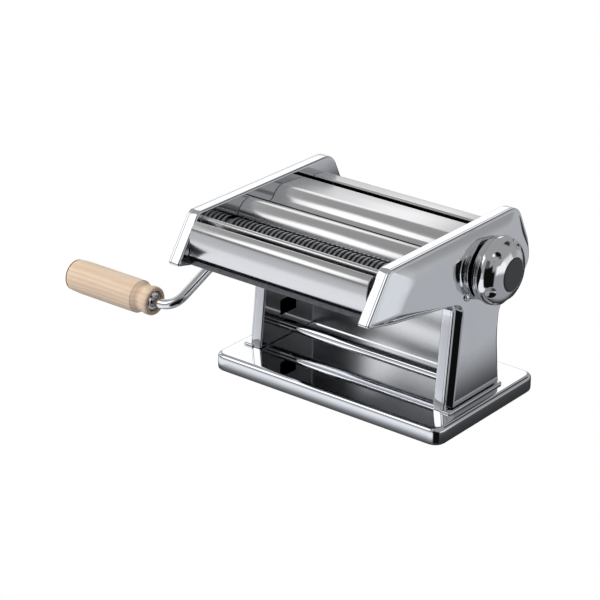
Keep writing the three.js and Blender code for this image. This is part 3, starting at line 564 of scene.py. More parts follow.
def cut(made, prisms):
    """Takes closed bars away from a piece and leaves plain mesh."""
    for number, (points, faces) in enumerate(prisms):
        mesh = bpy.data.meshes.new("cutter")
        mesh.from_pydata(((points + HOME) * MM).tolist(), [], faces)
        solid = bmesh.new()
        solid.from_mesh(mesh)
        bmesh.ops.recalc_face_normals(solid, faces=solid.faces)
        solid.to_mesh(mesh)
        solid.free()
        cutter = bpy.data.objects.new("cutter", mesh)
        bpy.context.scene.collection.objects.link(cutter)
        hole = made.modifiers.new(f"hole {number}", "BOOLEAN")
        hole.object = cutter
        hole.solver = "EXACT"
        bpy.context.view_layer.update()
        result = bpy.data.meshes.new_from_object(made.evaluated_get(bpy.context.evaluated_depsgraph_get()))
        made.modifiers.clear()
        made.data = result
        bpy.data.objects.remove(cutter)
    made.data.set_sharp_from_angle(angle=math.radians(30))


# %% [markdown]
# A pan is a stack of rings: over the outside from the rim's edge to the flat face, and back over the
# inside. The two faces are single flat polygons; a narrow ring just inside each keeps their shading
# flat. A right-hand pan is mirrored for the left-hand one, and its faces are turned round again. The
# inside faces take the dark oiled steel as painted shade, so the seams and holes look as black as
# their shadow.

# %% Pans
def pan(name, side, outer, inner, finish, replaces):
    """A pressed pan from two lists of (x, share, inset), the outside and the inside."""
    rings = [side_ring(*step) for step in [*outer, *inner]]
    count = len(rings[0])
    points = np.concatenate(rings)
    points[:, 0] *= side
    faces = grid_faces(len(rings), count, wrap_rows=True)
    cap = len(outer) - 1
    faces = np.delete(faces, np.s_[cap * count:(cap + 1) * count], axis=0).tolist()
    faces.append([cap * count + i for i in range(count)])
    faces.append([(cap + 1) * count + i for i in range(count)][::-1])
    made = piece(name, points, faces, finish, "stand", "chrome", replaces, 42)
    # The inside faces take the dark steel as painted shade, which blackens the seams and holes.
    made.data.materials.append(dark_steel)
    inside = np.zeros(len(faces), dtype=np.int32)
    inside[cap * count:] = 1
    outer_face = -2
    inside[outer_face] = 0
    made.data.polygons.foreach_set("material_index", inside)
    return made


WALL = 1.3
RIM_ROUND = 1.2
FACE_ROUND = 1.5
FLANGE_ROUND = 1.3
SEAM = 0.9
FLANGE = 3.6
SLOPE_EASE = 1.45
RIM_END = RIM_X - 0.8


def plate_steps():
    """The plate's section: a rounded rim, a straight wall and a rounded turn into the flat face."""
    outside = [(RIM_X - 1.2, 0.0, RIM_ROUND + 0.5)]
    outside += [(RIM_END - RIM_ROUND * (1 - math.cos(a)), 0.0, RIM_ROUND * (1 - math.sin(a)))
                for a in np.radians(np.linspace(0, 90, 6))]
    outside += [(PLATE_X + 3.0, 0.0, 0.0)]
    outside += [(PLATE_X + FACE_ROUND * (1 - math.sin(a)), 0.0, FACE_ROUND * (1 - math.cos(a)))
                for a in np.radians(np.linspace(0, 90, 8))]
    outside += [(PLATE_X, 0.0, FACE_ROUND + 0.5), (PLATE_X, 0.0, FACE_ROUND + 1.5)]
    inside = [(PLATE_X + WALL, 0.0, FACE_ROUND + 1.4), (PLATE_X + WALL + 0.6, 0.0, 1.5)]
    inside += [(PLATE_X + 3.0, 0.0, 1.2), (RIM_X - 1.8, 0.0, RIM_ROUND + 0.6)]
    return outside, inside


def cover_steps():
    """The cover's section: a level flange, a tight inward step, and a slope that eases into the face.

    Past the step the slope follows x = x0 + depth (1 - (1 - s)^p), so it starts steep and ends flat."""
    start = COVER_X + SEAM
    flange = COVER_X + FLANGE
    turn = np.radians(np.linspace(0, 90, 6))
    outside = [(start + 0.3, 0.0, 1.6), (start, 0.0, 1.0), (start + 0.1, 0.0, 0.5), (start + 0.35, 0.0, 0.15)]
    outside += [(start + 0.8, 0.0, 0.0)]
    outside += [(flange - FLANGE_ROUND * (1 - math.sin(a)), 0.0, FLANGE_ROUND * (1 - math.cos(a)))
                for a in turn]
    outside += [(flange, 0.0, FLANGE_ROUND + 0.3), (flange + 0.05, 0.02, FLANGE_ROUND + 0.6)]
    share = np.linspace(0.05, 1.0, 20)
    depth = FACE_X - flange - 0.1
    outside += [(flange + 0.1 + depth * (1 - (1 - s) ** SLOPE_EASE), s, FLANGE_ROUND + 0.8) for s in share]
    outside += [(FACE_X, 1.0, 2.4), (FACE_X, 1.0, 3.6)]
    inside = [(FACE_X - WALL, 1.0, 3.8), (FACE_X - WALL - 1.2, 0.8, 3.0), (FACE_X - WALL - 3.2, 0.25, 3.0)]
    inside += [(COVER_X + 2.6, 0.0, 2.0), (start + 0.7, 0.0, 1.9)]
    return outside, inside


# %% [markdown]
# Both plates have a square hole for the hook of a table clamp and a round one that the front roller's
# sliding bearing moves in. Only the left cover is cut, once for each shaft that the crank can turn. The
# right cover is left whole, because the knob hides the place where its spindle goes through.

# %% Plates and covers
CLAMP = [[-12.0, 32.5, 1.5], [7.0, 32.5, 1.5], [7.0, 45.0, 1.5], [-12.0, 45.0, 1.5]]
SLIDE_HOLE = 8.6
SLIDE_SHIFT = np.array([-1.1, 0.0])
CRANK_HOLE = 6.4
FRONT_AXIS = shaft_axis("front_roller")
DRIVEN_AXES = [shaft_axis(body) for body in ("drive_roller", "fine_rear", "wide_front")]
SIDES = {"right": 1, "left": -1}
for label, side in SIDES.items():
    plate = pan(f"plate_{label}", side, *plate_steps(), pressed_chrome, [f"inner_plate_{label}"])
    ends = sorted((side * (PLATE_X - 2), side * (PLATE_X + 3)))
    slide_hole = circle(FRONT_AXIS + SLIDE_SHIFT, SLIDE_HOLE)
    cut(plate, [prism(softened(CLAMP), *ends), prism(slide_hole, *ends)])
    cover = pan(f"cover_{label}", side, *cover_steps(), pressed_chrome, [f"outer_cover_{label}"])
    if label == "left":
        ends = (-FACE_X - 2, -FACE_X + 3)
        cut(cover, [prism(circle(axis, CRANK_HOLE), *ends) for axis in DRIVEN_AXES])
    print(label, "side:", len(plate.data.polygons) + len(cover.data.polygons), "faces")

# %% [markdown]
# Under each cover a small bead runs along the tray and hides the joint between the pressing and the
# deck. It could be a bevelled bar; the same stack of rings as the tray's gives it a round shoulder.

# %% Foot beads
BEAD_X = (COVER_X + 0.6, FACE_X + 1.8)
BEAD_CORNERS = [[-36.0, BEAD_X[0], 1.0], [32.4, BEAD_X[0], 1.0],
                [29.6, BEAD_X[1], 1.6], [-36.0, BEAD_X[1], 1.6]]
BEAD_STEPS = [(0.0, 0.0), (0.0, 0.7), (0.25, 1.2), (0.7, 1.5), (1.6, 1.6)]


def make_bead(label, side):
    """A low bar on the deck; the corners draw in towards its middle as the section steps up."""
    middle = sum(BEAD_X) / 2
    rings = []
    for inset, height in BEAD_STEPS:
        ring = softened([[y - math.copysign(inset, y), x - math.copysign(inset, x - middle), setback]
                         for y, x, setback in BEAD_CORNERS], 6)
        level = np.full(len(ring), TRAY_TOP + DECK_GAP + height)
        rings.append(np.column_stack([side * ring[:, 1], ring[:, 0], level]))
    faces = capped_grid(len(rings), len(rings[0]))
    piece(f"foot_bead_{label}", np.concatenate(rings), faces, pressed_chrome, "stand", "chrome")


for label, side in SIDES.items():
    make_bead(label, side)
print("foot beads ready")

# %% [markdown]
# ## Guards and covers
# The front cover closes the tip of the wing. In side view it has a short sloping top, a tight turn and a
# long swell down to a lower edge that turns under. It is bent sheet like the guards, with one thing
# more: near the lower edge its two front corners are drawn in along a quarter circle.

# %% Front cover
COVER_LINE = [[-105.0, 136.0, 0.01], [-106.6, 138.0, 1.2], [-111.2, 134.8, 2.8], [-114.2, 123.0, 8.0],
              [-111.2, 112.0, 2.4], [-104.0, 111.4, 0.01]]
SHEET = 1.2
CORNER_HEIGHT = 7.0
CORNER_REACH = 6.0
COVER_FRONT_Y = -104.5


def make_front_cover():
    """The bent cover, with d = reach (1 - sqrt(1 - h^2)) drawn in at h of the way down its corners."""
    half = PLATE_X - 0.8
    line = softened(COVER_LINE, 8, closed=False, runs=3)[:-2]
    points, faces = bent_sheet(line, SHEET, -half, half, 0.4)
    low = line[:, 1].min() - SHEET / 2
    down = np.clip((low + CORNER_HEIGHT - points[:, 2]) / CORNER_HEIGHT, 0, 1)
    drawn_in = CORNER_REACH * (1 - np.sqrt(1 - down ** 2))
    front = points[:, 1] < COVER_FRONT_Y
    points[:, 0] -= np.sign(points[:, 0]) * drawn_in * front
    piece("front_shell", points, faces, satin, "stand", "satin_metal", ["front_cover"], 40)


make_front_cover()
print("front cover ready")

# %% [markdown]
# The other guards are bent strips too, and each is one line in the side view. The two humps stand
# between the roller pairs and lead the dough into each slot; the second one starts with a small apron
# over the wide cutters, bends over in a round nose and runs back nearly level to the smooth rollers.
# The sill under the front cover takes the dark oiled steel as painted shade, the shade under the cover, and the
# back panel is a softer satin than the rest.

# %% Guards
SPAN = PLATE_X - 0.3
HUMP_RADIUS = 11.4
sill_line = softened([[-110.8, 110.2, 0.01], [-110.8, 106.2, 1.5], [-96.0, 103.8, 0.01]], 5, closed=False)
LIP_SHEET = 0.9
LIP_ROUND = 1.8
lip_y = seen_from_home("cutter_front_guard")[0, 1] + LIP_SHEET / 2
lip_line = np.concatenate([[[lip_y, 109.0]], arc(lip_y + LIP_ROUND, 136.6, LIP_ROUND, 180, 50, 12)])
hump_one = arc(-48.5, 126.0, HUMP_RADIUS, 172, 20)
apron = softened([[-24.2, 127.6, 0.01], [-20.6, 128.9, 1.8], [-18.6, 131.8, 0.01]], 6, closed=False)[6:-7]
hump_two = np.concatenate([apron, arc(-9.5, 125.0, HUMP_RADIUS, 142, 92), softened(
    [[-8.5, 136.4, 0.01], [15.2, 134.6, 1.0], [16.0, 131.0, 0.01]], 5, closed=False, runs=2)[:-1]])
rear_line = softened([
    [27.4, 131.6, 0.01], [28.4, 132.5, 0.5], [42.0, 130.9, 4.0], [51.5, 121.0, 6.0], [52.5, 104.0, 6.0],
    [46.0, 93.5, 5.0], [29.5, 90.5, 0.01]], 7, closed=False, runs=3)[:-2]
panel_line = np.array([[27.6, TRAY_TOP + 0.8], [27.6, 36.0], [26.4, 89.5]])
for name, line, thickness, finish, replaced in (
    # the sill's dark steel is painted shade under the front cover
    ("sill", sill_line, SHEET, dark_steel, "front_sill"),
    ("cutter_lip", lip_line, LIP_SHEET, satin, "cutter_front_guard"),
    ("hump_between_cutters", hump_one, SHEET, satin, "guard_between_cutters"),
    ("hump_before_rollers", hump_two, SHEET, satin, "guard_before_rollers"),
    ("rear_shell", rear_line, SHEET, satin, "rear_cover"),
    ("back_panel", panel_line, SHEET, panel_satin, "rear_panel"),
):
    piece(name, *bent_sheet(line, thickness, -SPAN, SPAN), finish, "stand", "satin_metal", [replaced], 45)
print("guards and covers ready")

# %% [markdown]
# ## Rollers
# A cutting roller is turned with a row of ridges, and its partner carries ridges where it has grooves.
# An Array of discs would leave inner walls where they meet; one turned section leaves none. The section
# comes from the pitch, so the two comb into each other. The left ends of the driven shafts are bored
# for the crank. The fine cutters are bright from use; the others are oiled.

# %% Smooth and cutting rollers
SOCKET_MOUTH = -(FACE_X + 1.0)
SOCKET_END = SOCKET_MOUTH + 18.0
SOCKET_RADIUS = 4.05
SHAFT_RADIUS = 5.65
JOURNAL_RADIUS = 4.0
ROLLER_RADIUS = 13.0
ROLLER_HALF = 75.0
RIDGE_RADIUS = 11.0
GROOVE_RADIUS = 8.2
RIDGED_LENGTH = 148.0
RIDGE_PLAY = 0.1
FINE_PITCH = 4.0
WIDE_PITCH = 13.0


def shaft_start(driven, left):
    """The left end of a shaft: plain, or bored with a bevelled mouth, as corners of its section."""
    if not driven:
        return [[left, 0, 0.01], [left, JOURNAL_RADIUS, 0.4]]
    return [[SOCKET_END, 0, 0.01], [SOCKET_END, SOCKET_RADIUS, 0.3], [SOCKET_MOUTH + 0.6, SOCKET_RADIUS, 0.3],
            [SOCKET_MOUTH, SOCKET_RADIUS + 0.5, 0.15], [SOCKET_MOUTH, SHAFT_RADIUS, 0.4]]


def roller(name, node, driven, ridges, finish):
    """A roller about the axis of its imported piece; ridges is (pitch, phase), or None for a smooth one."""
    low, high = seen_from_home(node)
    right = high[0]
    corners = shaft_start(driven, low[0])
    left_radius = corners[-1][1]
    if ridges is None:
        corners += [[-ROLLER_HALF, left_radius, 0.2], [-ROLLER_HALF, ROLLER_RADIUS, 0.6],
                    [ROLLER_HALF, ROLLER_RADIUS, 0.6], [ROLLER_HALF, JOURNAL_RADIUS, 0.2]]
    else:
        pitch, phase = ridges
        count = math.floor(RIDGED_LENGTH / pitch)
        start = -(count + 0.5) * pitch / 2
        width = pitch / 2 - RIDGE_PLAY
        core = 0.8 - start
        corners += [[-core, left_radius, 0.1], [-core, GROOVE_RADIUS, 0.1]]
        for x in start + (np.arange(count) + phase / 2) * pitch + RIDGE_PLAY / 2:
            corners += [[x, GROOVE_RADIUS, 0.05], [x, RIDGE_RADIUS, 0.15], [x + width, RIDGE_RADIUS, 0.15],
                        [x + width, GROOVE_RADIUS, 0.05]]
        corners += [[core, GROOVE_RADIUS, 0.1], [core, JOURNAL_RADIUS, 0.1]]
    corners += [[right, JOURNAL_RADIUS, 0.4], [right, 0, 0.01]]
    section = section_of(*corners, steps=2 if ridges else 4)
    body = next(b for b, nodes in frame["record"]["behaviour"]["bodies"].items() if node in nodes)
    points, faces = turned(section, shaft_axis(body), 48)
    return piece(name, points, faces, finish, body, "tool_steel", [node], 30)


for name, node, driven, ridges, finish in (
    ("rear_sheet_roller", "smooth_roller_rear", True, None, dark_steel),
    ("front_sheet_roller", "smooth_roller_front", False, None, dark_steel),
    ("rear_fine_cutter", "fine_cutter_rear", True, (FINE_PITCH, 0), turned_steel),
    ("front_fine_cutter", "fine_cutter_front", False, (FINE_PITCH, 1), turned_steel),
    ("front_wide_cutter", "wide_cutter_front", True, (WIDE_PITCH, 0), dark_steel),
    ("rear_wide_cutter", "wide_cutter_rear", False, (WIDE_PITCH, 1), dark_steel),
):
    made = roller(name, node, driven, ridges, finish)
    print(name, len(made.data.polygons), "faces")

# %% [markdown]
# ## Small turned pieces
# The tie rod holds the side plates apart on its two shoulders. The cover screws and the rubber feet are
# round too. Each could start as a cylinder with a Bevel; a turned section puts the soft edges where the
# real ones are. A foot is turned about X like the rest and then stood on end.

# %% Tie rod, screws and feet
TIE_AXIS = (-9.0, 25.8)
TIE_RADIUS = 4.25
TIE_END_RADIUS = 3.0
SCREW_AXIS = (-17.0, 96.7)
SCREW_RADIUS = 1.8
HEAD_RADIUS = 3.2
FOOT_RADIUS = 7.0
FOOT_STEM_RADIUS = 6.4


def make_tie_rod():
    low, high = seen_from_home("tie_rod")[:, 0]
    section = section_of([low, 0, 0.01], [low, TIE_END_RADIUS, 0.4], [-SPAN, TIE_END_RADIUS, 0.1],
                         [-SPAN, TIE_RADIUS, 0.3], [SPAN, TIE_RADIUS, 0.3], [SPAN, TIE_END_RADIUS, 0.1],
                         [high, TIE_END_RADIUS, 0.4], [high, 0, 0.01])
    piece("cross_rod", *turned(section, TIE_AXIS), chrome, "stand", "chrome", ["tie_rod"])


def make_screw(label, side):
    start, seat = FACE_X - 4.5, FACE_X + 0.25
    section = section_of([start, 0, 0.01], [start, SCREW_RADIUS, 0.2], [seat, SCREW_RADIUS, 0.1],
                         [seat, HEAD_RADIUS, 0.3], [FACE_X + 1.5, HEAD_RADIUS - 0.1, 1.2],
                         [FACE_X + 2.1, 0, 0.01], steps=6)
    points, faces = turned(section, SCREW_AXIS, 48)
    points[:, 0] *= side
    piece(f"screw_{label}", points, faces, chrome, "stand", "chrome", [f"cover_screw_{label}"], 50)


def make_foot(label, end):
    node = f"rubber_foot_{label}_{end}"
    low, high = seen_from_home(node)
    centre = (low + high) / 2
    section = section_of([low[2], 0, 0.01], [low[2], FOOT_RADIUS, 1.0], [low[2] + 4, FOOT_STEM_RADIUS, 2.0],
                         [high[2], FOOT_STEM_RADIUS, 0.6], [high[2], 0, 0.01])
    points, faces = turned(section, (0, 0), 48)
    points = np.column_stack([points[:, 1] + centre[0], points[:, 2] + centre[1], points[:, 0]])
    piece(f"foot_{label}_{end}", points, faces, rubber, "stand", "rubber", [node])


make_tie_rod()
for label, side in SIDES.items():
    make_screw(label, side)
    for end in ("front", "rear"):
        make_foot(label, end)
print("tie rod, screws and feet ready")

# %% [markdown]
# ## Thickness knob
# The knob is a chromed moulding: a plain skirt, a waist, and a crowned body with five finger dimples.
# Booleans with balls would leave a knife edge round each dimple, and a moulding has none. So the knob
# is turned finely first. Each dimple then pushes in the skin that lies inside a ball, by a share of the
# depth that grows from nothing at the ball's surface, and that leaves a soft rim.

# %% Knob
KNOB_BACK = seen_from_home("knob_body")[0, 0]
KNOB_FACE = seen_from_home("knob_cap")[1, 0]
KNOB_RADIUS = 25.0
CAP_RADIUS = 12.2
CAP_PLAY = 0.15
SPRING_ROOM = 9.0
KNOB_BORE = 4.3
KNOB_WEB = 3.0
DIMPLES = 5
DIMPLE_START = 60
DIMPLE_BALL = 6.6
DIMPLE_CENTRE = 24.2
DIMPLE_TILT = math.radians(40)
DIMPLE_DEPTH = 0.75
DIMPLE_RIM = 0.8


def knob_section():
    back, face, radius, seat = KNOB_BACK, KNOB_FACE, KNOB_RADIUS, CAP_RADIUS + CAP_PLAY
    web = back + KNOB_WEB
    skirt = [[back, KNOB_BORE, 0.2], [back, radius - 1.4, 0.6], [back + 2.2, radius - 1.0, 0.8]]
    waist = [[back + 2.8, radius - 2.6, 0.5], [back + 4.6, radius, 2.0], [back + 10.0, radius - 0.1, 4.0]]
    crown = [[face - 4.2, radius - 4.2, 4.0], [face - 1.4, radius - 10.0, 2.6],
             [face - 0.6, CAP_RADIUS + 0.6, 0.4]]
    recess = [[face - 0.9, seat, 0.3], [face - 4.0, seat, 0.3], [face - 4.0, SPRING_ROOM, 0.3]]
    bore = [[web, SPRING_ROOM, 0.3], [web, KNOB_BORE, 0.2]]
    return softened([*skirt, *waist, *crown, *recess, *bore], 8, runs=6)


def make_knob():
    """The turned knob, with d (1 - e^(-d / rim)) pushed in where the skin is d inside a dimple's ball."""
    points, faces = turned(knob_section(), FRONT_AXIS, 240)
    for number in range(DIMPLES):
        angle = math.radians(DIMPLE_START + number * 360 / DIMPLES)
        sideways = np.array([0, math.cos(angle), math.sin(angle)])
        centre = np.array([KNOB_FACE - 2.6, *FRONT_AXIS]) + DIMPLE_CENTRE * sideways
        depth = np.clip(DIMPLE_BALL - np.linalg.norm(points - centre, axis=1), 0, None)
        outward = np.array([math.cos(DIMPLE_TILT), 0, 0]) + math.sin(DIMPLE_TILT) * sideways
        push = depth * (1 - np.exp(-depth / DIMPLE_RIM)) * DIMPLE_DEPTH
        skin = points[:, 0] > KNOB_BACK + 6.0
        points = points - outward * (push * skin)[:, None]
    piece("thickness_knob", points, faces, chrome, "knob", "chrome", ["knob_body"], 60)


make_knob()
cap_section = section_of([KNOB_FACE - 3.7, 0, 0.01], [KNOB_FACE - 3.7, CAP_RADIUS, 0.3],
                         [KNOB_FACE - 0.5, CAP_RADIUS, 0.6], [KNOB_FACE, CAP_RADIUS - 1.2, 0.8],
                         [KNOB_FACE - 0.1, 0, 0.01], steps=6)
piece("knob_centre", *turned(cap_section, FRONT_AXIS, 96), cap_black, "knob", "black_plastic", ["knob_cap"])
print("knob ready")

# %% [markdown]
# Inside the knob a coil spring presses it against its index pin. A Screw modifier could wind it; a wire
# carried along a helix keeps the same round section from end to end. The coil can't ride on two bodies,
# so it rides on the adjuster alone, and its length with the knob pulled is only printed.

# %% Knob spring
SPRING_WIRE = 0.5
SPRING_TURNS = 3
SPRING_RINGS = 60 * SPRING_TURNS
WIRE_SIDES = 16
KNOB_PULL = next(joint for joint in frame["joints"] if joint["name"] == "knob_pull")


def make_spring():
    """A wire whose middle follows (x0 + run t, y0 + r cos a, z0 + r sin a), with a = 2 pi turns t."""
    low, high = seen_from_home("knob_spring")
    radius = (high - low)[2] / 2 - SPRING_WIRE
    t = np.linspace(0, 1, SPRING_RINGS)
    angle = 2 * np.pi * SPRING_TURNS * t
    outward = np.column_stack([np.zeros(SPRING_RINGS), np.cos(angle), np.sin(angle)])
    start = np.array([low[0] + SPRING_WIRE, *FRONT_AXIS])
    run = high[0] - low[0] - 2 * SPRING_WIRE
    middle = start + outward * radius
    middle[:, 0] += run * t
    along = np.gradient(middle, axis=0)
    along /= np.linalg.norm(along, axis=1)[:, None]
    across = np.cross(along, outward)
    round_wire = np.linspace(0, 2 * np.pi, WIRE_SIDES, endpoint=False)[None, :, None]
    ring = np.cos(round_wire) * outward[:, None] + np.sin(round_wire) * across[:, None]
    points = (middle[:, None] + ring * SPRING_WIRE).reshape(-1, 3)
    spring = piece("coil_spring", points, capped_grid(SPRING_RINGS, WIRE_SIDES), turned_steel, "adjuster",
                   "tool_steel", ["knob_spring"], 60)
    length = high[0] - low[0]
    travel = KNOB_PULL["range_m"][1] / MM
    (length - travel) / length
    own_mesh(spring)
    print("spring", round(length, 2), "mm long, and", round(length - travel, 2), "mm with the knob pulled")


make_spring()

# %% [markdown]
# ## Crank
# The crank is one bent rod: straight out of its socket, slanting down, and out again into the grip. A
# curve with a round bevel would do it too. Here a round section is carried along the path, which lies
# in one plane, so the plane's normal serves as one axis of every section and the other follows from it.

# %% Crank
crank_axis = shaft_axis("drive_roller")
grip_box = seen_from_home("crank_grip")
grip_axis = grip_box[:, 1:].mean(axis=0)
ROD_RADIUS = 3.8
ROD_SIDES = 40
CRANK_BEND_X = -115.0
CRANK_CORNER_X = -142.0


def make_crank():
    """A tube along (x, d) in the crank's plane, with d the way down from its axis to the grip's."""
    down = grip_axis - crank_axis
    reach = np.linalg.norm(down)
    flat = [[SOCKET_END - 1.5, 0, 0.01], [CRANK_BEND_X, 0, 11], [CRANK_CORNER_X, reach, 13],
            [grip_box[0, 0] + 8, reach, 0.01]]
    path = softened(flat, 14, closed=False, runs=10)[:-9]
    along = np.gradient(path, axis=0)
    along /= np.linalg.norm(along, axis=1)[:, None]
    direction = np.array([0, *(down / reach)])
    centre = np.column_stack([path[:, 0], np.zeros((len(path), 2))]) + path[:, 1:] * direction
    centre[:, 1:] += crank_axis
    side = np.cross([1.0, 0, 0], direction)
    normal = np.column_stack([-along[:, 1], np.zeros((len(path), 2))]) + along[:, :1] * direction
    angle = np.linspace(0, 2 * np.pi, ROD_SIDES, endpoint=False)
    ring = np.cos(angle)[None, :, None] * normal[:, None] + np.sin(angle)[None, :, None] * side
    radius = np.full(len(path), ROD_RADIUS)
    radius[[0, -1]] = ROD_RADIUS - 0.5
    points = (centre[:, None] + ring * radius[:, None, None]).reshape(-1, 3)
    faces = capped_grid(len(path), ROD_SIDES)
    piece("crank_rod", points, faces, chrome, "crank", "chrome", ["crank_arm"], 60)


make_crank()

# %% [markdown]
# The grip is turned on a lathe: a long barrel with a fully rounded end, a neck, and a bead with a recess
# that takes the collar. The same turning function as for the rollers makes it, as a closed loop round
# the bore, so the rod runs in real space.

# %% Grip
near, far = grip_box[1, 0], grip_box[0, 0]
BARREL_RADIUS = 12.8
NECK_RADIUS = 10.1
BEAD_RADIUS = 11.2
RECESS_RADIUS = 8.2
GRIP_BORE = 4.15
PIN_HOLE = 0.8
barrel = [[far, PIN_HOLE, 0.1], [far, BARREL_RADIUS - 4.5, 4.0], [far + 1.6, BARREL_RADIUS - 0.6, 3.2],
          [far + 12, BARREL_RADIUS, 4.0], [near - 20, BARREL_RADIUS, 5.0]]
neck = [[near - 14.5, BARREL_RADIUS - 0.2, 3.0], [near - 10.4, NECK_RADIUS, 1.8],
        [near - 7.4, NECK_RADIUS, 1.6]]
bead = [[near - 5.6, BEAD_RADIUS, 1.2], [near - 1.2, BEAD_RADIUS, 1.4], [near, BEAD_RADIUS - 1, 0.8]]
recess = [[near, RECESS_RADIUS, 0.4], [near - 4.5, RECESS_RADIUS, 0.4]]
bore = [[near - 4.5, GRIP_BORE, 0.2], [far + 7, GRIP_BORE, 0.2], [far + 7, PIN_HOLE, 0.1]]
grip_section = softened([*barrel, *neck, *bead, *recess, *bore], 8, runs=3)
piece("wooden_grip", *turned(grip_section, grip_axis, 96), beech, "grip", "beech", ["crank_grip"], 50)

COLLAR_RADIUS = 7.4
COLLAR_BORE = 4.0
collar_far, collar_near = seen_from_home("grip_collar")[:, 0]
collar_section = softened([
    [collar_far, COLLAR_BORE, 0.1], [collar_far, COLLAR_RADIUS, 0.2], [collar_near - 1.2, COLLAR_RADIUS, 1.0],
    [collar_near, COLLAR_RADIUS - 2.2, 0.5], [collar_near, COLLAR_BORE, 0.2],
], 5)
piece("grip_ferrule", *turned(collar_section, grip_axis, 64), chrome, "crank", "tool_steel",
      ["grip_collar"], 50)
print("crank and grip ready")

# %% [markdown]
# ## Room, light and camera
# Chrome shows its surroundings, so the room matters as much as the metal. Lamps alone would leave black
# mirrors, so the room is drawn as a sky: white boxes, grey walls and black cards, each a soft-edged
# block of directions. They are laid one over the other, so a later one covers an earlier one. Straight
# to the camera the sky is plain white.

# %% Sky
WALLS = 0.34
EDGE = 4.0
# azimuth of the middle, half of the width, lowest and highest elevation, all in degrees, and brightness
PANELS = {
    "light table in front": (-130, 60, -60, -14, 0.95),
    "grey band over it": (-130, 44, -14, 3, 0.60),
    "dark strip": (-130, 34, 5, 14, 0.07),
    "front box": (-130, 22, 20, 50, 1.4),
    "left box": (175, 22, 5, 33, 1.0),
    "grey card over it": (165, 26, 38, 64, 0.36),
    "rear left box": (128, 11, 12, 33, 1.25),
    "paler box under it": (126, 12, -9, 12, 0.75),
    "black card under both": (128, 16, -40, -15, 0.02),
    "tall dark card": (-65, 16, -5, 45, 0.10),
    "black card on the knob side": (-46, 34, -42, 20, 0.005),
    "grey card beside it": (-14, 9, 2, 22, 0.33),
    "low grey wall": (62, 20, -30, 0, 0.48),
    "black card over it": (66, 10, 26, 46, 0.03),
    "right box": (20, 25, -10, 8, 1.0),
    "rear right box": (35, 10, -20, 8, 0.8),
}


def make_sky():
    world = bpy.data.worlds.new("studio sky")
    bpy.context.scene.world = world
    tree = Tree(world)
    x, y, z = tree.parts(tree.node("ShaderNodeTexCoord", output=0))
    level_part = (1 - z * z).math("SQRT")

    def past(elevation):
        """0 below an elevation in degrees and 1 above it."""
        return z.step(math.sin(math.radians(elevation - EDGE)), math.sin(math.radians(elevation + EDGE)))

    def panel(azimuth, half, low, high):
        """1 inside a block of azimuths and elevations, in degrees, and 0 outside it."""
        a = math.radians(azimuth)
        towards = (x * math.cos(a) + y * math.sin(a)) / level_part
        inner = max(half - EDGE, 0)
        across = towards.step(math.cos(math.radians(half + EDGE)), math.cos(math.radians(inner)))
        return across * past(low) * (1 - past(high))

    light = WALLS
    for azimuth, half, low, high, brightness in PANELS.values():
        mask = panel(azimuth, half, low, high)
        light = light * (1 - mask) + mask * brightness
    seen = tree.node("ShaderNodeLightPath", output=0)
    strength = seen + (1 - seen) * light
    colour = tree.blend(z.step(-0.3, 0.2), (0.94, 0.96, 1.0), (1.0, 1.0, 1.0))
    shader = tree.node("ShaderNodeBackground", inputs={"Color": colour, "Strength": strength})
    tree.node("ShaderNodeOutputWorld", inputs={"Surface": shader})


make_sky()
bpy.context.scene.view_settings.view_transform = "Standard"
print(len(PANELS), "panels in the sky")

# %% [markdown]
# The machine stands on white paper. To the camera the paper is plain white. To everything else it is
# clear, so that the tray still mirrors the sky under it, apart from a dark margin round the tray: there
# the real tray mirrors its own shadow. The margin is widest on the knob side.

# %% Floor
FLOOR_HALF = 3.0
FLOOR_LEVEL = -0.0002
MARGIN_START = 0.004
MARGIN_END = 0.034
MARGIN_DARK = 0.9
NARROWER = {"right": 0.55, "front": 1.7, "left": 2.0}


def make_floor():
    mesh = bpy.data.meshes.new("floor")
    corners = [(-1, -1), (1, -1), (1, 1), (-1, 1)]
    mesh.from_pydata([(x * FLOOR_HALF, y * FLOOR_HALF, FLOOR_LEVEL) for x, y in corners], [], [(0, 1, 2, 3)])
    floor = bpy.data.objects.new("floor", mesh)
    bpy.context.scene.collection.objects.link(floor)
    paper, tree = finish_named("white paper")
    x, y, _ = tree.parts(tree.place())
    low, high = (TRAY[:, :2] + HOME[:2]) * MM
    to_right = (x - high[0]).math("MAXIMUM", 0.0)
    to_front = (low[1] - y).math("MAXIMUM", 0.0)
    to_left = (low[0] - x).math("MAXIMUM", 0.0)
    away = to_right * NARROWER["right"] + to_front * NARROWER["front"] + to_left * NARROWER["left"]
    margin = (1 - away.step(MARGIN_START, MARGIN_END)) * MARGIN_DARK
    seen = tree.node("ShaderNodeLightPath", output=0)
    white = tree.node("ShaderNodeEmission", inputs={"Color": (1, 1, 1, 1), "Strength": 1.0})
    clear = tree.node("ShaderNodeBsdfTransparent")
    black = tree.node("ShaderNodeBsdfDiffuse", inputs={"Color": (0.01, 0.01, 0.011, 1)})
    shaded = tree.node("ShaderNodeMixShader", inputs={0: margin, 1: clear, 2: black})
    mixed = tree.node("ShaderNodeMixShader", inputs={0: seen, 1: shaded, 2: white})
    tree.node("ShaderNodeOutputMaterial", inputs={"Surface": mixed})
    mesh.materials.append(paper)
    print("floor ready")


make_floor()

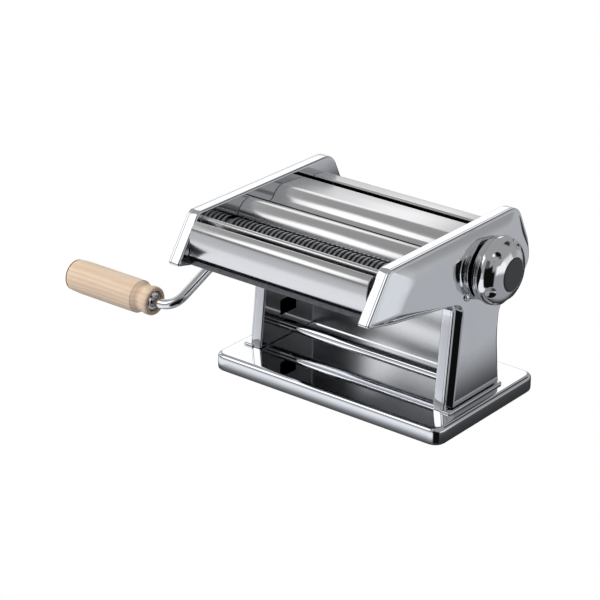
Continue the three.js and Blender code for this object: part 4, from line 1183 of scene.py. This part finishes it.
# %% [markdown]
# The sky lights the metal, and one soft lamp adds shape to the wood and the plastic. It is left out of
# mirror images, because a lamp's square in the chrome would be one panel too many.

# %% Lamp
MACHINE_MIDDLE = Vector((0.0, 0.0, 0.07))


def lamp(name, place, size, power):
    """A square area lamp, turned to the middle of the machine and left out of mirror images."""
    data = bpy.data.lights.new(name, "AREA")
    data.energy = power
    data.size = size
    made = bpy.data.objects.new(name, data)
    towards = MACHINE_MIDDLE - Vector(place)
    made.matrix_world = Matrix.Translation(place) @ towards.to_track_quat("-Z", "Y").to_matrix().to_4x4()
    made.visible_glossy = False
    bpy.context.scene.collection.objects.link(made)


lamp("key", (-0.9, -1.2, 1.5), size=0.9, power=22.0)

# %% [markdown]
# The camera stands in front on the knob side, a little above, with a long lens, which keeps the tray's
# far edges almost parallel. A Track To constraint couldn't roll it, so its turn is built from three
# directions: to the right, upwards, and back from the machine.

# %% Camera
CAMERA_AZIMUTH = 38.47
CAMERA_ELEVATION = 23.89
CAMERA_ROLL = 0.29
CAMERA_DISTANCE = 1651.5
LENS = 139.5
LOOKED_AT = np.array([-23.6, -56.9, 75.8])


def make_camera():
    """The camera's axes: back from the machine, then level and upright, turned by the roll."""
    azimuth, elevation, roll = np.radians([CAMERA_AZIMUTH, CAMERA_ELEVATION, CAMERA_ROLL])
    back = np.array([math.sin(azimuth) * math.cos(elevation), -math.cos(azimuth) * math.cos(elevation),
                     math.sin(elevation)])
    level = np.array([math.cos(azimuth), math.sin(azimuth), 0.0])
    upright = np.cross(back, level)
    right = math.cos(roll) * level + math.sin(roll) * upright
    up = math.cos(roll) * upright - math.sin(roll) * level
    data = bpy.data.cameras.new("camera")
    data.sensor_width = 36.0
    data.lens = LENS
    camera = bpy.data.objects.new("camera", data)
    turn = Matrix(np.column_stack([right, up, back]).tolist()).to_4x4()
    place = (LOOKED_AT + CAMERA_DISTANCE * back + HOME) * MM
    camera.matrix_world = Matrix.Translation(place.tolist()) @ turn
    bpy.context.scene.collection.objects.link(camera)
    bpy.context.scene.camera = camera
    print("camera at", place.round(3), "m")


make_camera()
